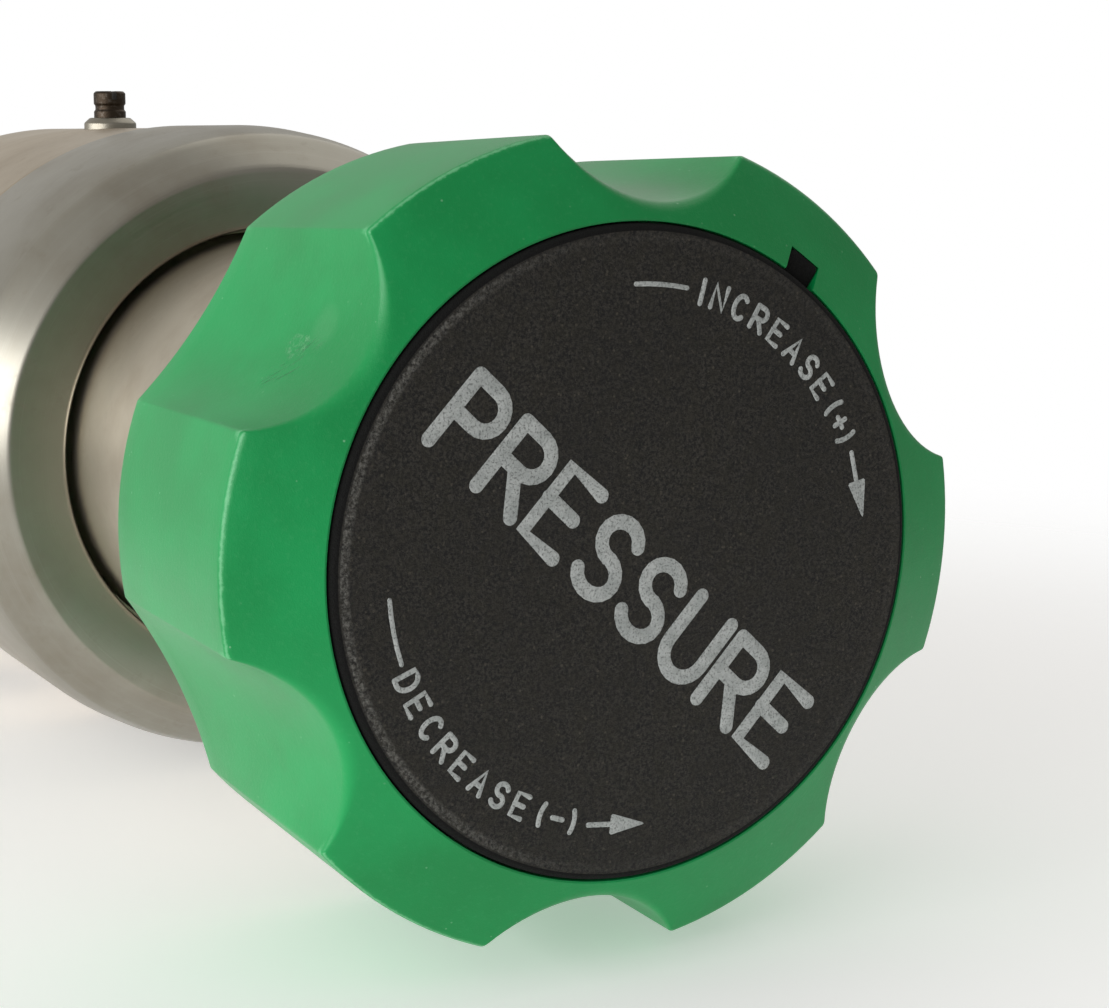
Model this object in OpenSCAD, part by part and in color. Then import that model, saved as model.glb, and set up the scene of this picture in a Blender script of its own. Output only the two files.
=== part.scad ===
// Hand-adjusted pressure valve for panel mounting.
// Every piece is turned about one main axis. It is drawn with that axis along local Z,
// measured forward from the rear face, and is then laid down so that the knob faces -Y.

/* [Body] */
// Radius of the valve body
body_r = 26; // [25.6:0.1:27]
// Length of the body behind the cap ring
body_len = 38.1; // [38:0.1:38.3]
// Radius of the spigot that the cap ring screws onto
spigot_r = 22.2; // [22:0.1:22.2]
// Distance of the front of the spigot from the rear face
spigot_end = 50; // [50:0.05:50.1]
// Distance of the port centres from the rear face
port_z = 19; // [18.5:0.5:20]
// Radius of the 1/4 inch female ports
port_r = 5.55; // [5.4:0.05:5.8]
// Spacing of the two tapped mounting holes in the rear face
mount_spacing = 38.1; // [36:0.1:40]
// Radius of the tapped mounting holes
mount_hole_r = 2.1; // [2:0.05:2.4]
// Depth of the tapped mounting holes
mount_hole_depth = 9.5; // [8:0.5:10]

/* [Cap ring] */
// Outer radius of the cap ring
ring_r = 26.2; // [26:0.1:26.6]
// Distance of the flat front of the ring from the rear face
ring_front = 60.7; // [60.5:0.1:62]
// Radius of the hole that the neck passes through
ring_hole_r = 18.03; // [17.8:0.05:18.4]
// Outer radius of the flat annular front
ring_flat_r = 22.66; // [22:0.1:23.2]

/* [Body cap] */
// Radius of the neck that passes through a panel
neck_r = 17.4; // [17.2:0.1:17.5]
// Distance of the end of the neck from the rear face
neck_end = 102; // [101.8:0.1:102.2]
// Radius of the bore around the range spring
spring_bore_r = 12.2; // [12.1:0.1:12.6]

/* [Knob] */
// Distance of the back edge of the knob from the rear face
knob_back = 94.5; // [93:0.5:95]
// Distance of the front opening of the knob from the rear face
knob_front = 117.4; // [117.2:0.1:117.8]
// Radius at the lobes at the front edge
knob_front_r = 25.83; // [25.6:0.1:26.2]
// Radius at the lobes at the back edge
knob_back_r = 25.19; // [25:0.1:26]
// Radius of the front opening that the cover snaps into
opening_r = 20.3; // [20.2:0.05:20.4]
// How far the sloping front face falls back from the opening to the lobes
face_fall = 2.63; // [2:0.1:3]
// Depth of a finger scallop at the front
scallop_front = 4.3; // [3:0.1:4.4]
// Depth of a finger scallop at the back
scallop_back = 0.6; // [0.4:0.1:1.5]
// Half the angle that one scallop takes
scallop_half = 15.3; // [14:0.1:16]
// Direction of the first scallop, counter-clockwise from the right
first_scallop = 24.6; // [0:0.1:60]
// Radius of the cover disc
cover_r = 19.7; // [19.5:0.05:19.8]
// Direction of the pry notch
notch_angle = 54.5; // [50:0.5:58]

/* [Travel] */
// Lead of the adjusting thread in one turn
thread_lead = 1.25; // [1:0.25:1.25]
// Turns that the knob can be screwed in from rest
turns_in = 5; // [3:1:5]
// Radius of the adjusting stem
stem_r = 4; // [4:0.01:4.02]
// Stroke of the diaphragm and the poppet
valve_stroke = 0.8; // [0.5:0.1:0.9]

/* [Bleed] */
// Distance of the bleed screw from the rear face
bleed_z = 18.4; // [18:0.1:19]
// Radius of the bleed screw
bleed_r = 1.5; // [1.4:0.02:1.52]
// Height of the top of the bleed screw above the main axis
bleed_top = 29.5; // [29:0.1:30]

/* [Hidden] */
$fn = 96;
// small overshoot that keeps cut faces clean
eps = 0.05;
// radial room of parts that stay still in each other
snug = 0.05;

// body interior
port_depth = 13;
port_inner = body_r - port_depth;
spot_r = 7.5;
spot_face = body_r - 1.2;
gauge_angles = [240, 300];
gauge_inner = 14;
filter_pocket_r = 4.6;
filter_seat = 10;
gallery_r = 1.6;
gallery_x = 12.6;
small_gallery_r = 1.2;
chamber_r = 14.5;
chamber_floor = 45.5;
retainer_r = 7;
seat_r = 5;
seat_z = 28;
seat_thick = 3;
seat_hole_r = 1.75;
seal_thick = 0.8;
poppet_room_r = 4.2;
poppet_room_z = 14;
guide_r = 2.6;
guide_floor = 8;
poppet_tail_z = guide_floor + valve_stroke + 0.2;
seal_groove = [17.95, 19.65];

// diaphragm stack
diaphragm_thick = 0.3;
cap_base = spigot_end + diaphragm_thick;
flange_r = 22;
flange_end = 55.6;
plate_gap = 0.25;
plate_r = 9;
button_r = 10.4;

// range spring
spring_wire_r = 1.3;
spring_mean_r = 8.9;
spring_turns = 5;
spring_floor = cap_base + plate_gap + 2.45;
spring_top = 76.5;
spigot_in_spring_r = 6.8;

// stem, nut and thrust ball
nut_flange_z = 87.6;
nut_shoulder = 90;
nut_r = 8.95;
ball_r = 2.4;
ball_z = 81;
stem_base = 81.8;
stem_shoulder = 108.9;
stem_tip = 112.3;
hex_r = 3.3;
clip_z = 84.9;
clip_thick = 1;
clip_groove_r = 3.4;
screw_hole_r = 2.1;

// knob interior
web_back = neck_end + turns_in * thread_lead + 0.75;
web_front = 112.6;
ledge = 115.3;
hollow_r = 18.4;
pocket_r = 16;
insert_r = 7.5;
notch_w = 2.5;
notch_reach = 21.9;
face_slope = face_fall / (knob_front_r - opening_r);
edge_back = 1.1;
scallop_steps = 10;
lobe_steps = 4;
lobe_pitch = 60;

// Lays the main axis down: local Z becomes -Y and local Y becomes +Z.
module lay_down() {
    rotate([90, 0, 0]) children();
}

// A cylinder from one height to another on the main axis.
module rod(r, low, high) {
    translate([0, 0, low]) cylinder(r = r, h = high - low);
}

// A plain ring on the main axis.
module collar(inner, outer, low, high) {
    difference() {
        rod(outer, low, high);
        rod(inner, low - eps, high + eps);
    }
}

// Turns to a direction around the main axis at one height, with local Z pointing outward.
module radial(angle, z) {
    translate([0, 0, z]) rotate([0, 0, angle]) rotate([0, 90, 0]) children();
}

// A solid of revolution from [radius, height] points.
module turned(points) {
    rotate_extrude() polygon(points);
}

// A hexagonal prism with its corners at radius r.
module hex_rod(r, low, high) {
    translate([0, 0, low]) cylinder(r = r, h = high - low, $fn = 6);
}

// Points of one ring of a swept wire.
function wire_ring(mean_r, wire_r, rise, turn, sides) = [
    for (side = [0 : sides - 1])
        let (a = 360 * side / sides, r = mean_r + wire_r * cos(a))
            [r * cos(turn), r * sin(turn), rise + wire_r * sin(a)]
];

// A helical spring between two heights, with round wire and open ends.
module helix(mean_r, wire_r, low, high, turns, per_turn, sides) {
    rings = turns * per_turn;
    first = low + wire_r;
    climb = (high - low - 2 * wire_r) / rings;
    points = [
        for (n = [0 : rings])
            each wire_ring(mean_r, wire_r, first + n * climb, 360 * n / per_turn, sides)
    ];
    sleeve = [
        for (n = [0 : rings - 1], side = [0 : sides - 1])
            let (
                a = n * sides + side,
                b = n * sides + (side + 1) % sides
            )
            each [[a, a + sides, b], [b, a + sides, b + sides]]
    ];
    low_end = [for (side = [0 : sides - 1]) side];
    high_end = [for (side = [sides - 1 : -1 : 0]) rings * sides + side];
    polyhedron(points, concat(sleeve, [low_end, high_end]), convexity = 10);
}

module valve_body() {
    rear_chamfer = 1;
    front_chamfer = 0.5;
    relief_r = spigot_r - 0.8;
    relief_len = 1.6;
    color("silver") lay_down() difference() {
        turned([
            [0, 0], [body_r - rear_chamfer, 0], [body_r, rear_chamfer],
            [body_r, body_len - front_chamfer], [body_r - front_chamfer, body_len],
            [relief_r, body_len], [relief_r, body_len + relief_len],
            [spigot_r, body_len + relief_len], [spigot_r, spigot_end - front_chamfer],
            [spigot_r - front_chamfer, spigot_end], [0, spigot_end]
        ]);
        // main bore, from the diaphragm chamber down to the poppet guide
        rod(chamber_r, chamber_floor, spigot_end + eps);
        rod(retainer_r, seat_z + seat_thick, chamber_floor + eps);
        rod(seat_r, seat_z, seat_z + seat_thick + eps);
        rod(poppet_room_r, poppet_room_z, seat_z + eps);
        rod(guide_r, guide_floor, poppet_room_z + eps);
        // seal groove
        difference() {
            rod(seal_groove[1], spigot_end - seal_thick, spigot_end + eps);
            rod(seal_groove[0], spigot_end - seal_thick - eps, spigot_end + 2 * eps);
        }
        // inlet and outlet ports with their spot faces
        for (angle = [0, 180]) radial(angle, port_z) {
            rod(port_r, port_inner, body_r + eps);
            rod(spot_r, spot_face, body_r + 1);
        }
        // inlet passage behind the filter
        radial(180, port_z) {
            rod(filter_pocket_r, filter_seat, port_inner + eps);
            rod(gallery_r, poppet_room_r - 1, filter_seat + eps);
        }
        // outlet gallery up to the diaphragm chamber
        translate([gallery_x, 0, 0]) rod(gallery_r, port_z - 2.5, chamber_floor + 1);
        // gauge ports, one on the inlet side and one on the outlet side
        for (angle = gauge_angles) radial(angle, port_z) {
            rod(port_r, gauge_inner, body_r + eps);
            rod(spot_r, spot_face, body_r + 1);
        }
        radial(gauge_angles[0], port_z) rod(small_gallery_r, poppet_room_r - 1, gauge_inner + eps);
        rotate([0, 0, gauge_angles[1]]) translate([gallery_x, 0, 0]) {
            rod(small_gallery_r, port_z - 2, chamber_floor + 1);
            rotate([0, 90, 0]) translate([-port_z, 0, 0]) cylinder(r = 0.9, h = 2);
        }
        // bleed passage
        radial(90, bleed_z) {
            rod(2.5, 20.5, body_r + eps);
            rod(0.9, gallery_x, 20.5 + eps);
        }
        translate([0, gallery_x, 0]) rod(0.8, bleed_z - 0.5, chamber_floor + 1);
        // tapped holes in the rear face
        for (side = [-1, 1]) translate([side * mount_spacing / 2, 0, 0])
            rod(mount_hole_r, -eps, mount_hole_depth);
    }
}

module cap_ring() {
    ring_back = body_len + 0.3;
    back_chamfer = 0.5;
    shoulder_r = 25.5;
    shoulder_z = ring_front - 3.3;
    blend_z = ring_front - 8.5;
    color("silver") lay_down() turned([
        [spigot_r + 0.1, ring_back], [ring_r - back_chamfer, ring_back],
        [ring_r, ring_back + back_chamfer], [ring_r, blend_z],
        [ring_r - 0.25, blend_z + 3], [shoulder_r, shoulder_z],
        [shoulder_r - 0.45, shoulder_z + 0.7], [ring_flat_r + 0.4, ring_front - 0.3],
        [ring_flat_r, ring_front], [ring_hole_r + 0.3, ring_front],
        [ring_hole_r, ring_front - 0.3], [ring_hole_r, flange_end],
        [spigot_r + 0.1, flange_end]
    ]);
}

module body_cap() {
    end_chamfer = 0.8;
    vent_r = 1.2;
    vent_z = 66;
    color("silver") lay_down() difference() {
        turned([
            [spring_bore_r, cap_base], [flange_r, cap_base], [flange_r, flange_end],
            [neck_r, flange_end], [neck_r, neck_end - end_chamfer],
            [neck_r - end_chamfer, neck_end], [nut_r + snug, neck_end],
            [nut_r + snug, nut_shoulder], [spring_bore_r, nut_shoulder]
        ]);
        rod(chamber_r, cap_base - eps, cap_base + 1.9);
        radial(270, vent_z) rod(vent_r, spring_bore_r - 1, neck_r + 1);
    }
}

module diaphragm_seal() {
    color("white") lay_down()
        collar(seal_groove[0] + snug, seal_groove[1] - snug, spigot_end - seal_thick, spigot_end);
}

module diaphragm() {
    rim_r = 21.8;
    wave = [[10.9, 0], [11.6, 0.5], [12.5, 0.8], [13.4, 0.5], [14.1, 0]];
    low = [for (p = wave) [p[0], spigot_end + p[1]]];
    high = [for (n = [len(wave) - 1 : -1 : 0]) [wave[n][0], cap_base + wave[n][1]]];
    color("lightsteelblue") lay_down() turned(concat(
        [[0, spigot_end]], low,
        [[rim_r, spigot_end], [rim_r, cap_base]], high,
        [[0, cap_base]]
    ));
}

module stop_plate() {
    top = spigot_end - plate_gap;
    color("silver") lay_down() {
        rod(plate_r, top - 2.15, top);
        rod(3, top - 3.25, top - 2);
    }
}

module diaphragm_plate() {
    base = cap_base + plate_gap;
    color("gainsboro") lay_down() {
        rod(button_r, base, spring_floor);
        rod(spigot_in_spring_r, spring_floor - eps, spring_floor + 3);
    }
}

module range_spring() {
    color("dimgray") lay_down() helix(
        spring_mean_r, spring_wire_r, spring_floor, spring_top, spring_turns, 24, 8
    );
}

module upper_spring_button() {
    color("gainsboro") lay_down() difference() {
        union() {
            rod(spigot_in_spring_r, spring_top - 3, spring_top + eps);
            rod(10.8, spring_top, spring_top + 2.2);
            rod(6.5, spring_top + 2, spring_top + 4);
        }
        translate([0, 0, ball_z]) sphere(r = ball_r + 0.1);
    }
}

module thrust_ball() {
    color("slategray") lay_down() translate([0, 0, ball_z]) sphere(r = ball_r);
}

module stem() {
    color("silver") lay_down() difference() {
        union() {
            rod(stem_r, stem_base, clip_z);
            rod(clip_groove_r, clip_z - eps, clip_z + clip_thick + eps);
            rod(stem_r, clip_z + clip_thick, stem_shoulder);
            hex_rod(hex_r, stem_shoulder - eps, stem_tip);
        }
        translate([0, 0, ball_z]) sphere(r = ball_r + 0.2);
        rod(screw_hole_r, stem_tip - 9, stem_tip + eps);
    }
}

module stem_retaining_clip() {
    slot_w = 4;
    color("dimgray") lay_down() difference() {
        collar(clip_groove_r + snug, 6, clip_z + snug, clip_z + clip_thick - snug);
        translate([0, -slot_w / 2, clip_z - 1]) cube([8, slot_w, clip_thick + 2]);
    }
}

module stem_nut() {
    nut_end = neck_end - 0.6;
    color("goldenrod") lay_down() difference() {
        union() {
            rod(nut_r, nut_flange_z, nut_end);
            rod(spring_bore_r - 0.3, nut_flange_z, nut_shoulder);
        }
        rod(stem_r + snug, nut_flange_z - eps, nut_end + eps);
    }
}

// Half the width, the circle radius and the circle centre of one scallop arc.
function arc_half(r) = r * sin(scallop_half);
function arc_r(r, depth) = (pow(arc_half(r), 2) + depth * depth) / (2 * depth);
function arc_c(r, depth) = r * cos(scallop_half) - depth + arc_r(r, depth);

// Radius of the knob outline at an angle from the middle of a scallop.
function outline_r(a, r, depth) = abs(a) >= scallop_half ? r :
    let (c = arc_c(r, depth), q = arc_r(r, depth))
        c * cos(a) - sqrt(q * q - pow(c * sin(a), 2));

// Angles of the outline points within one scallop and the lobe after it.
outline_angles = concat(
    [for (n = [0 : scallop_steps]) scallop_half * (2 * n / scallop_steps - 1)],
    [for (n = [1 : lobe_steps - 1])
        scallop_half + n * (lobe_pitch - 2 * scallop_half) / lobe_steps]
);

function face_z(r) = knob_front - (r - opening_r) * face_slope;

// One closed outline; where on_face is true its points lie on the sloping front face.
function knob_outline(r, depth, z, on_face, back) = [
    for (lobe = [0 : 5], a = outline_angles)
        let (
            turn = first_scallop + lobe * lobe_pitch + a,
            p = outline_r(a, r, depth),
            height = on_face ? face_z(p) - back : z
        )
        [p * cos(turn), p * sin(turn), height]
];

// The lobed outside of the knob as a closed solid.
module knob_solid() {
    count = 6 * len(outline_angles);
    depth_at_edge = scallop_front - 0.9;
    inner_r = opening_r - 1;
    rings = [
        knob_outline(knob_back_r, scallop_back, knob_back, false, 0),
        knob_outline(knob_front_r, depth_at_edge, 0, true, edge_back),
        knob_outline(knob_front_r - 0.3, scallop_front, 0, true, 0),
        [for (lobe = [0 : 5], a = outline_angles)
            let (turn = first_scallop + lobe * lobe_pitch + a)
                [inner_r * cos(turn), inner_r * sin(turn), face_z(inner_r)]]
    ];
    sleeve = [
        for (ring = [0 : len(rings) - 2], n = [0 : count - 1])
            let (a = ring * count + n, b = ring * count + (n + 1) % count)
                each [[a, a + count, b], [b, a + count, b + count]]
    ];
    back = [for (n = [0 : count - 1]) n];
    front = [for (n = [count - 1 : -1 : 0]) (len(rings) - 1) * count + n];
    polyhedron([for (ring = rings) each ring], concat(sleeve, [back, front]), convexity = 6);
}

module knob() {
    groove_z = 113.2;
    color("seagreen") lay_down() difference() {
        knob_solid();
        rod(hollow_r, knob_back - eps, web_back);
        rod(insert_r, web_back - eps, web_front + eps);
        rod(pocket_r, web_front, ledge + eps);
        rod(pocket_r + 0.3, groove_z, groove_z + 1);
        rod(opening_r, ledge, knob_front + 1);
        rotate([0, 0, notch_angle]) translate([opening_r - 1, -notch_w / 2, ledge])
            cube([notch_reach - opening_r + 1, notch_w, knob_front - ledge + 1]);
    }
}

module knob_insert() {
    color("goldenrod") lay_down() difference() {
        rod(insert_r, web_back, web_front);
        hex_rod(hex_r + snug, web_back - eps, web_front + eps);
    }
}

module knob_washer() {
    color("silver") lay_down() collar(2.7, 5.2, web_front, web_front + 0.6);
}

module knob_screw() {
    head_z = web_front + 0.6;
    head_top = head_z + 1.9;
    color("dimgray") lay_down() difference() {
        union() {
            rod(4.2, head_z, head_top);
            rod(screw_hole_r - snug, head_z - 8.5, head_z + eps);
        }
        hex_rod(1.7, head_top - 1.2, head_top + eps);
    }
}

module knob_cover() {
    seat = ledge + 0.05;
    top = knob_front + 0.25;
    edge = 0.5;
    skirt_r = pocket_r - 0.3;
    skirt_in = skirt_r - 1.1;
    skirt_end = 112.9;
    bump_z = 113.7;
    flange_out = opening_r - 0.1;
    flange_top = knob_front - 0.7;
    tab_w = notch_w - 0.2;
    color("#262523") lay_down() {
        turned([
            [0, seat], [skirt_in, seat], [skirt_in, skirt_end], [skirt_r - 0.3, skirt_end],
            [skirt_r, skirt_end + 0.3], [pocket_r + 0.1, bump_z], [skirt_r, bump_z + 0.4],
            [skirt_r, seat], [flange_out, seat], [flange_out, flange_top],
            [cover_r, flange_top], [cover_r, top - edge], [cover_r - edge, top], [0, top]
        ]);
        // key in the pry notch
        rotate([0, 0, notch_angle]) translate([cover_r - 1, -tab_w / 2, seat])
            cube([notch_reach - 0.1 - cover_r + 1, tab_w, flange_top - seat]);
    }
}

module seat_retainer() {
    base = seat_z + seat_thick + seal_thick;
    top = 42.5;
    color("gainsboro") lay_down() difference() {
        rod(retainer_r - snug, base, top);
        rod(1.9, base - eps, top + eps);
        hex_rod(4.6, top - 4, top + eps);
    }
}

module valve_seat() {
    color("tan") lay_down() collar(seat_hole_r, seat_r - snug, seat_z, seat_z + seat_thick);
}

module seat_seal() {
    base = seat_z + seat_thick;
    color("black") lay_down() collar(3, retainer_r - 0.4, base, base + seal_thick);
}

module poppet() {
    tail_r = 1.5;
    head_r = 3.2;
    needle_r = 1.2;
    head_back = 20;
    head_front = seat_z - 1.6;
    needle_z = seat_z + 0.55;
    tip = spigot_end - plate_gap - 3.35;
    color("silver") lay_down() turned([
        [0, poppet_tail_z], [tail_r, poppet_tail_z], [tail_r, head_back],
        [head_r, head_back], [head_r, head_front], [needle_r, needle_z],
        [needle_r, tip], [0, tip]
    ]);
}

module poppet_damper() {
    color("white") lay_down()
        collar(1.56, guide_r - snug, guide_floor + 1.5, poppet_room_z - 0.5);
}

module poppet_spring() {
    color("dimgray") lay_down() helix(3.3, 0.35, poppet_room_z, 20, 4, 16, 6);
}

module inlet_filter() {
    color("darkgray") lay_down() radial(180, port_z)
        rod(filter_pocket_r - 0.1, filter_seat + 0.2, port_inner - 1.1);
}

module filter_retaining_ring() {
    color("dimgray") lay_down() radial(180, port_z)
        collar(3.5, filter_pocket_r - snug, port_inner - 1, port_inner - 0.1);
}

module gauge_port_plugs() {
    plug_top = spot_face - 0.4;
    color("silver") lay_down() for (angle = gauge_angles) radial(angle, port_z) difference() {
        rod(port_r - snug, gauge_inner + 0.5, plug_top);
        hex_rod(3.6, plug_top - 6, plug_top + eps);
    }
}

module bleed_bush() {
    color("silver") lay_down() radial(90, bleed_z) difference() {
        turned([
            [0, 22.2], [2.45, 22.2], [2.45, body_r + 0.5],
            [1.9, body_r + 1], [0, body_r + 1]
        ]);
        rod(bleed_r + snug, 22, body_r + 2);
    }
}

module bleed_ball() {
    color("slategray") lay_down() radial(90, bleed_z) translate([0, 0, 21.35]) sphere(r = 1.2);
}

module bleed_screw() {
    slot_w = 0.5;
    slot_depth = 0.8;
    color("#3e342a") lay_down() radial(90, bleed_z) difference() {
        rod(bleed_r, 22.65, bleed_top);
        translate([-2, -slot_w / 2, bleed_top - slot_depth]) cube([4, slot_w, 2]);
    }
}

valve_body();
cap_ring();
body_cap();
diaphragm_seal();
diaphragm();
stop_plate();
diaphragm_plate();
range_spring();
upper_spring_button();
thrust_ball();
stem();
stem_retaining_clip();
stem_nut();
knob();
knob_insert();
knob_washer();
knob_screw();
knob_cover();
seat_retainer();
valve_seat();
seat_seal();
poppet();
poppet_damper();
poppet_spring();
inlet_filter();
filter_retaining_ring();
gauge_port_plugs();
bleed_bush();
bleed_ball();
bleed_screw();
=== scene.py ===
"""Looks of a hand-adjusted pressure valve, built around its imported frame.

Pieces are drawn in millimetres in the maker's own frame: x to the right, y up and
z forward along the main axis from the rear face. They are then laid into the frame
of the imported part, where the knob faces -Y.
"""

import logging
import math
from dataclasses import dataclass, field
from enum import Enum
from typing import Any, Iterable, Sequence

import bmesh
import bpy
from mathutils import Matrix, Vector


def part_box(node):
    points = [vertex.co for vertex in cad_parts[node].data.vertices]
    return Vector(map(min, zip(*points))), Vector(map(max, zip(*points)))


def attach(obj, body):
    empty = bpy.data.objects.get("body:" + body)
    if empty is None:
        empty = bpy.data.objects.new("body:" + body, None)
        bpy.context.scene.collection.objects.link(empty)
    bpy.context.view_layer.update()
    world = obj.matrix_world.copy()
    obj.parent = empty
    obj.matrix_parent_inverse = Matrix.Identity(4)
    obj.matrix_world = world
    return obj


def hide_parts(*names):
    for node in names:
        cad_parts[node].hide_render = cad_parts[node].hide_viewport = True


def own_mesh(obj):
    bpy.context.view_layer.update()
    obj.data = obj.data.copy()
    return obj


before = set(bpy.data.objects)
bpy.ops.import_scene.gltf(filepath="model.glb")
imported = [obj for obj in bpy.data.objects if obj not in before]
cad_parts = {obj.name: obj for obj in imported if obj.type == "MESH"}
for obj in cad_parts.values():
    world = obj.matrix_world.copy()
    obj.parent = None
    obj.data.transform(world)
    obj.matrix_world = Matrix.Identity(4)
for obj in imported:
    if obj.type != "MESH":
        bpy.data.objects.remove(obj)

MM = 0.001
ROUND = 144  # segments around a turned piece
CUTTER_SIDES = 72  # segments around a round cutter
CREASE = 32  # degrees above which an edge stays sharp
LEAST = 1e-6  # lengths in millimetres below this count as nothing
LAY_DOWN = Matrix.Scale(MM, 4) @ Matrix.Rotation(math.radians(90), 4, "X")

Profile = list[tuple[float, float]]
Colour = tuple[float, float, float]

log = logging.getLogger("valve")


# ---------------------------------------------------------------- measuring


@dataclass(frozen=True)
class Span:
    """Where a turned node lies on the main axis, and how far it reaches, in mm."""

    back: float
    front: float
    radius: float

    @classmethod
    def of(cls, node: str) -> "Span":
        """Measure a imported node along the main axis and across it."""
        low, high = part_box(node)
        return cls(-high.y / MM, -low.y / MM, (high.x - low.x) / 2 / MM)

    @property
    def length(self) -> float:
        """Length along the main axis."""
        return self.front - self.back


def radial(angle: float, z: float) -> Matrix:
    """Frame whose z axis points outward at one place on the main axis.

    Args:
        angle: Direction around the main axis, in degrees from the right.
        z: Distance from the rear face.

    Returns:
        The matrix from that frame to the maker's frame.
    """
    turn = Matrix.Rotation(math.radians(angle), 4, "Z")
    tip = Matrix.Rotation(math.radians(90), 4, "Y")
    return Matrix.Translation((0, 0, z)) @ turn @ tip


# ---------------------------------------------------------------- mesh making


def solid(
    name: str,
    points: Sequence[Sequence[float]],
    faces: Sequence[Sequence[int]],
    at: Matrix | None = None,
    crease: float = CREASE,
) -> bpy.types.Object:
    """Make one closed piece from points and faces.

    Args:
        name: Name of the piece.
        points: Corners in millimetres.
        faces: Indices of the corners of each face.
        at: Frame that the points are drawn in, or None for the maker's frame.
        crease: Angle in degrees above which an edge stays sharp.

    Returns:
        The new object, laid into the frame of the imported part.
    """
    mesh = bpy.data.meshes.new(name)
    mesh.from_pydata([tuple(p) for p in points], [], [tuple(f) for f in faces])
    work = bmesh.new()
    work.from_mesh(mesh)
    bmesh.ops.remove_doubles(work, verts=work.verts, dist=1e-5)
    bmesh.ops.recalc_face_normals(work, faces=work.faces)
    work.to_mesh(mesh)
    work.free()
    mesh.transform(LAY_DOWN @ (at or Matrix.Identity(4)))
    piece = bpy.data.objects.new(name, mesh)
    bpy.context.scene.collection.objects.link(piece)
    soften(piece, crease)
    return piece


def soften(piece: bpy.types.Object, crease: float) -> None:
    """Shade a piece smooth, except across edges sharper than the crease angle."""
    piece.data.shade_smooth()
    piece.data.set_sharp_from_angle(angle=math.radians(crease))


def eased(profile: Profile, radius: float, steps: int = 3) -> Profile:
    """Round the corners of a turned profile.

    Args:
        profile: Closed loop of radius and height, in order.
        radius: Size of the rounding, made smaller where an edge is short.
        steps: Segments across each corner.

    Returns:
        The loop with its corners eased. Corners on the axis stay.
    """
    out: Profile = []
    count = len(profile)
    for n, (r, z) in enumerate(profile):
        here = Vector((r, z))
        before = Vector(profile[n - 1]) - here
        after = Vector(profile[(n + 1) % count]) - here
        straight = before.angle(after, math.pi) > math.radians(170)
        if r < LEAST or straight or min(before.length, after.length) < LEAST:
            out.append((r, z))
            continue
        reach = min(radius, 0.42 * before.length, 0.42 * after.length)
        start = here + before.normalized() * reach
        end = here + after.normalized() * reach
        for k in range(steps + 1):
            t = k / steps
            p = start * (1 - t) ** 2 + here * 2 * t * (1 - t) + end * t * t
            out.append((p.x, p.y))
    return out


def circle(radius: float, z: float, sides: int) -> list[tuple[float, float, float]]:
    """Points around the axis at one height."""
    angles = [math.tau * s / sides for s in range(sides)]
    return [(radius * math.cos(a), radius * math.sin(a), z) for a in angles]


def hex_corners(radius: float) -> list[tuple[float, float]]:
    """Corners of a regular hexagon, at one distance from the middle."""
    return [(x, y) for x, y, _ in circle(radius, 0, 6)]


def band(inner: float, outer: float, low: float, high: float) -> Profile:
    """Profile of a plain ring, or of a disc where the inner radius is 0."""
    return [(inner, low), (outer, low), (outer, high), (inner, high)]


def ball(radius: float, middle: float, steps: int) -> Profile:
    """Profile of a ball, as half a circle."""
    angles = [math.pi * n / steps for n in range(steps + 1)]
    return [(max(0.0, radius * math.sin(a)), middle - radius * math.cos(a)) for a in angles]


def turned(
    name: str,
    profile: Profile,
    ease: float = 0.12,
    at: Matrix | None = None,
    sides: int = ROUND,
) -> bpy.types.Object:
    """Turn a closed profile into a solid of revolution.

    Args:
        name: Name of the piece.
        profile: Closed loop of radius and height in millimetres.
        ease: Rounding of its corners.
        at: Frame to turn it in, or None for the main axis.
        sides: Segments around the axis.

    Returns:
        The new object.
    """
    loop = eased(profile, ease) if ease else list(profile)
    points: list[tuple[float, float, float]] = []
    rows: list[list[int]] = []
    for r, z in loop:
        start = len(points)
        if r < LEAST:
            rows.append([start] * sides)
            points.append((0.0, 0.0, z))
        else:
            rows.append([start + s for s in range(sides)])
            points += circle(r, z, sides)
    faces = []
    for n, row in enumerate(rows):
        other = rows[(n + 1) % len(rows)]
        for s in range(sides):
            t = (s + 1) % sides
            corners = list(dict.fromkeys((row[s], row[t], other[t], other[s])))
            if len(corners) > 2:
                faces.append(corners)
    return solid(name, points, faces, at)


def prism(
    corners: Sequence[tuple[float, float]],
    low: float,
    high: float,
    at: Matrix | None = None,
) -> bpy.types.Object:
    """Make a straight prism, to cut with.

    Args:
        corners: Outline in the plane across its axis.
        low: Start along its axis.
        high: End along its axis.
        at: Frame to draw it in, or None for the maker's frame.

    Returns:
        The new object.
    """
    points = [(x, y, z) for z in (low, high) for x, y in corners]
    return solid("cutter", points, capped(2, len(corners)), at)


def cut(
    piece: bpy.types.Object, *cutters: bpy.types.Object, crease: float = CREASE
) -> bpy.types.Object:
    """Cut other solids out of a piece, and drop them.

    Args:
        piece: The piece that stays.
        cutters: Solids that are taken away from it.
        crease: Angle in degrees above which an edge stays sharp.

    Returns:
        The same piece.
    """
    for cutter in cutters:
        step = piece.modifiers.new("cut", "BOOLEAN")
        step.operation, step.solver, step.object = "DIFFERENCE", "EXACT", cutter
    bpy.context.view_layer.update()
    seen = piece.evaluated_get(bpy.context.evaluated_depsgraph_get())
    mesh = bpy.data.meshes.new_from_object(seen)
    mesh.name = piece.name
    piece.modifiers.clear()
    piece.data = mesh
    for cutter in cutters:
        bpy.data.objects.remove(cutter)
    soften(piece, crease)
    return piece


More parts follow.
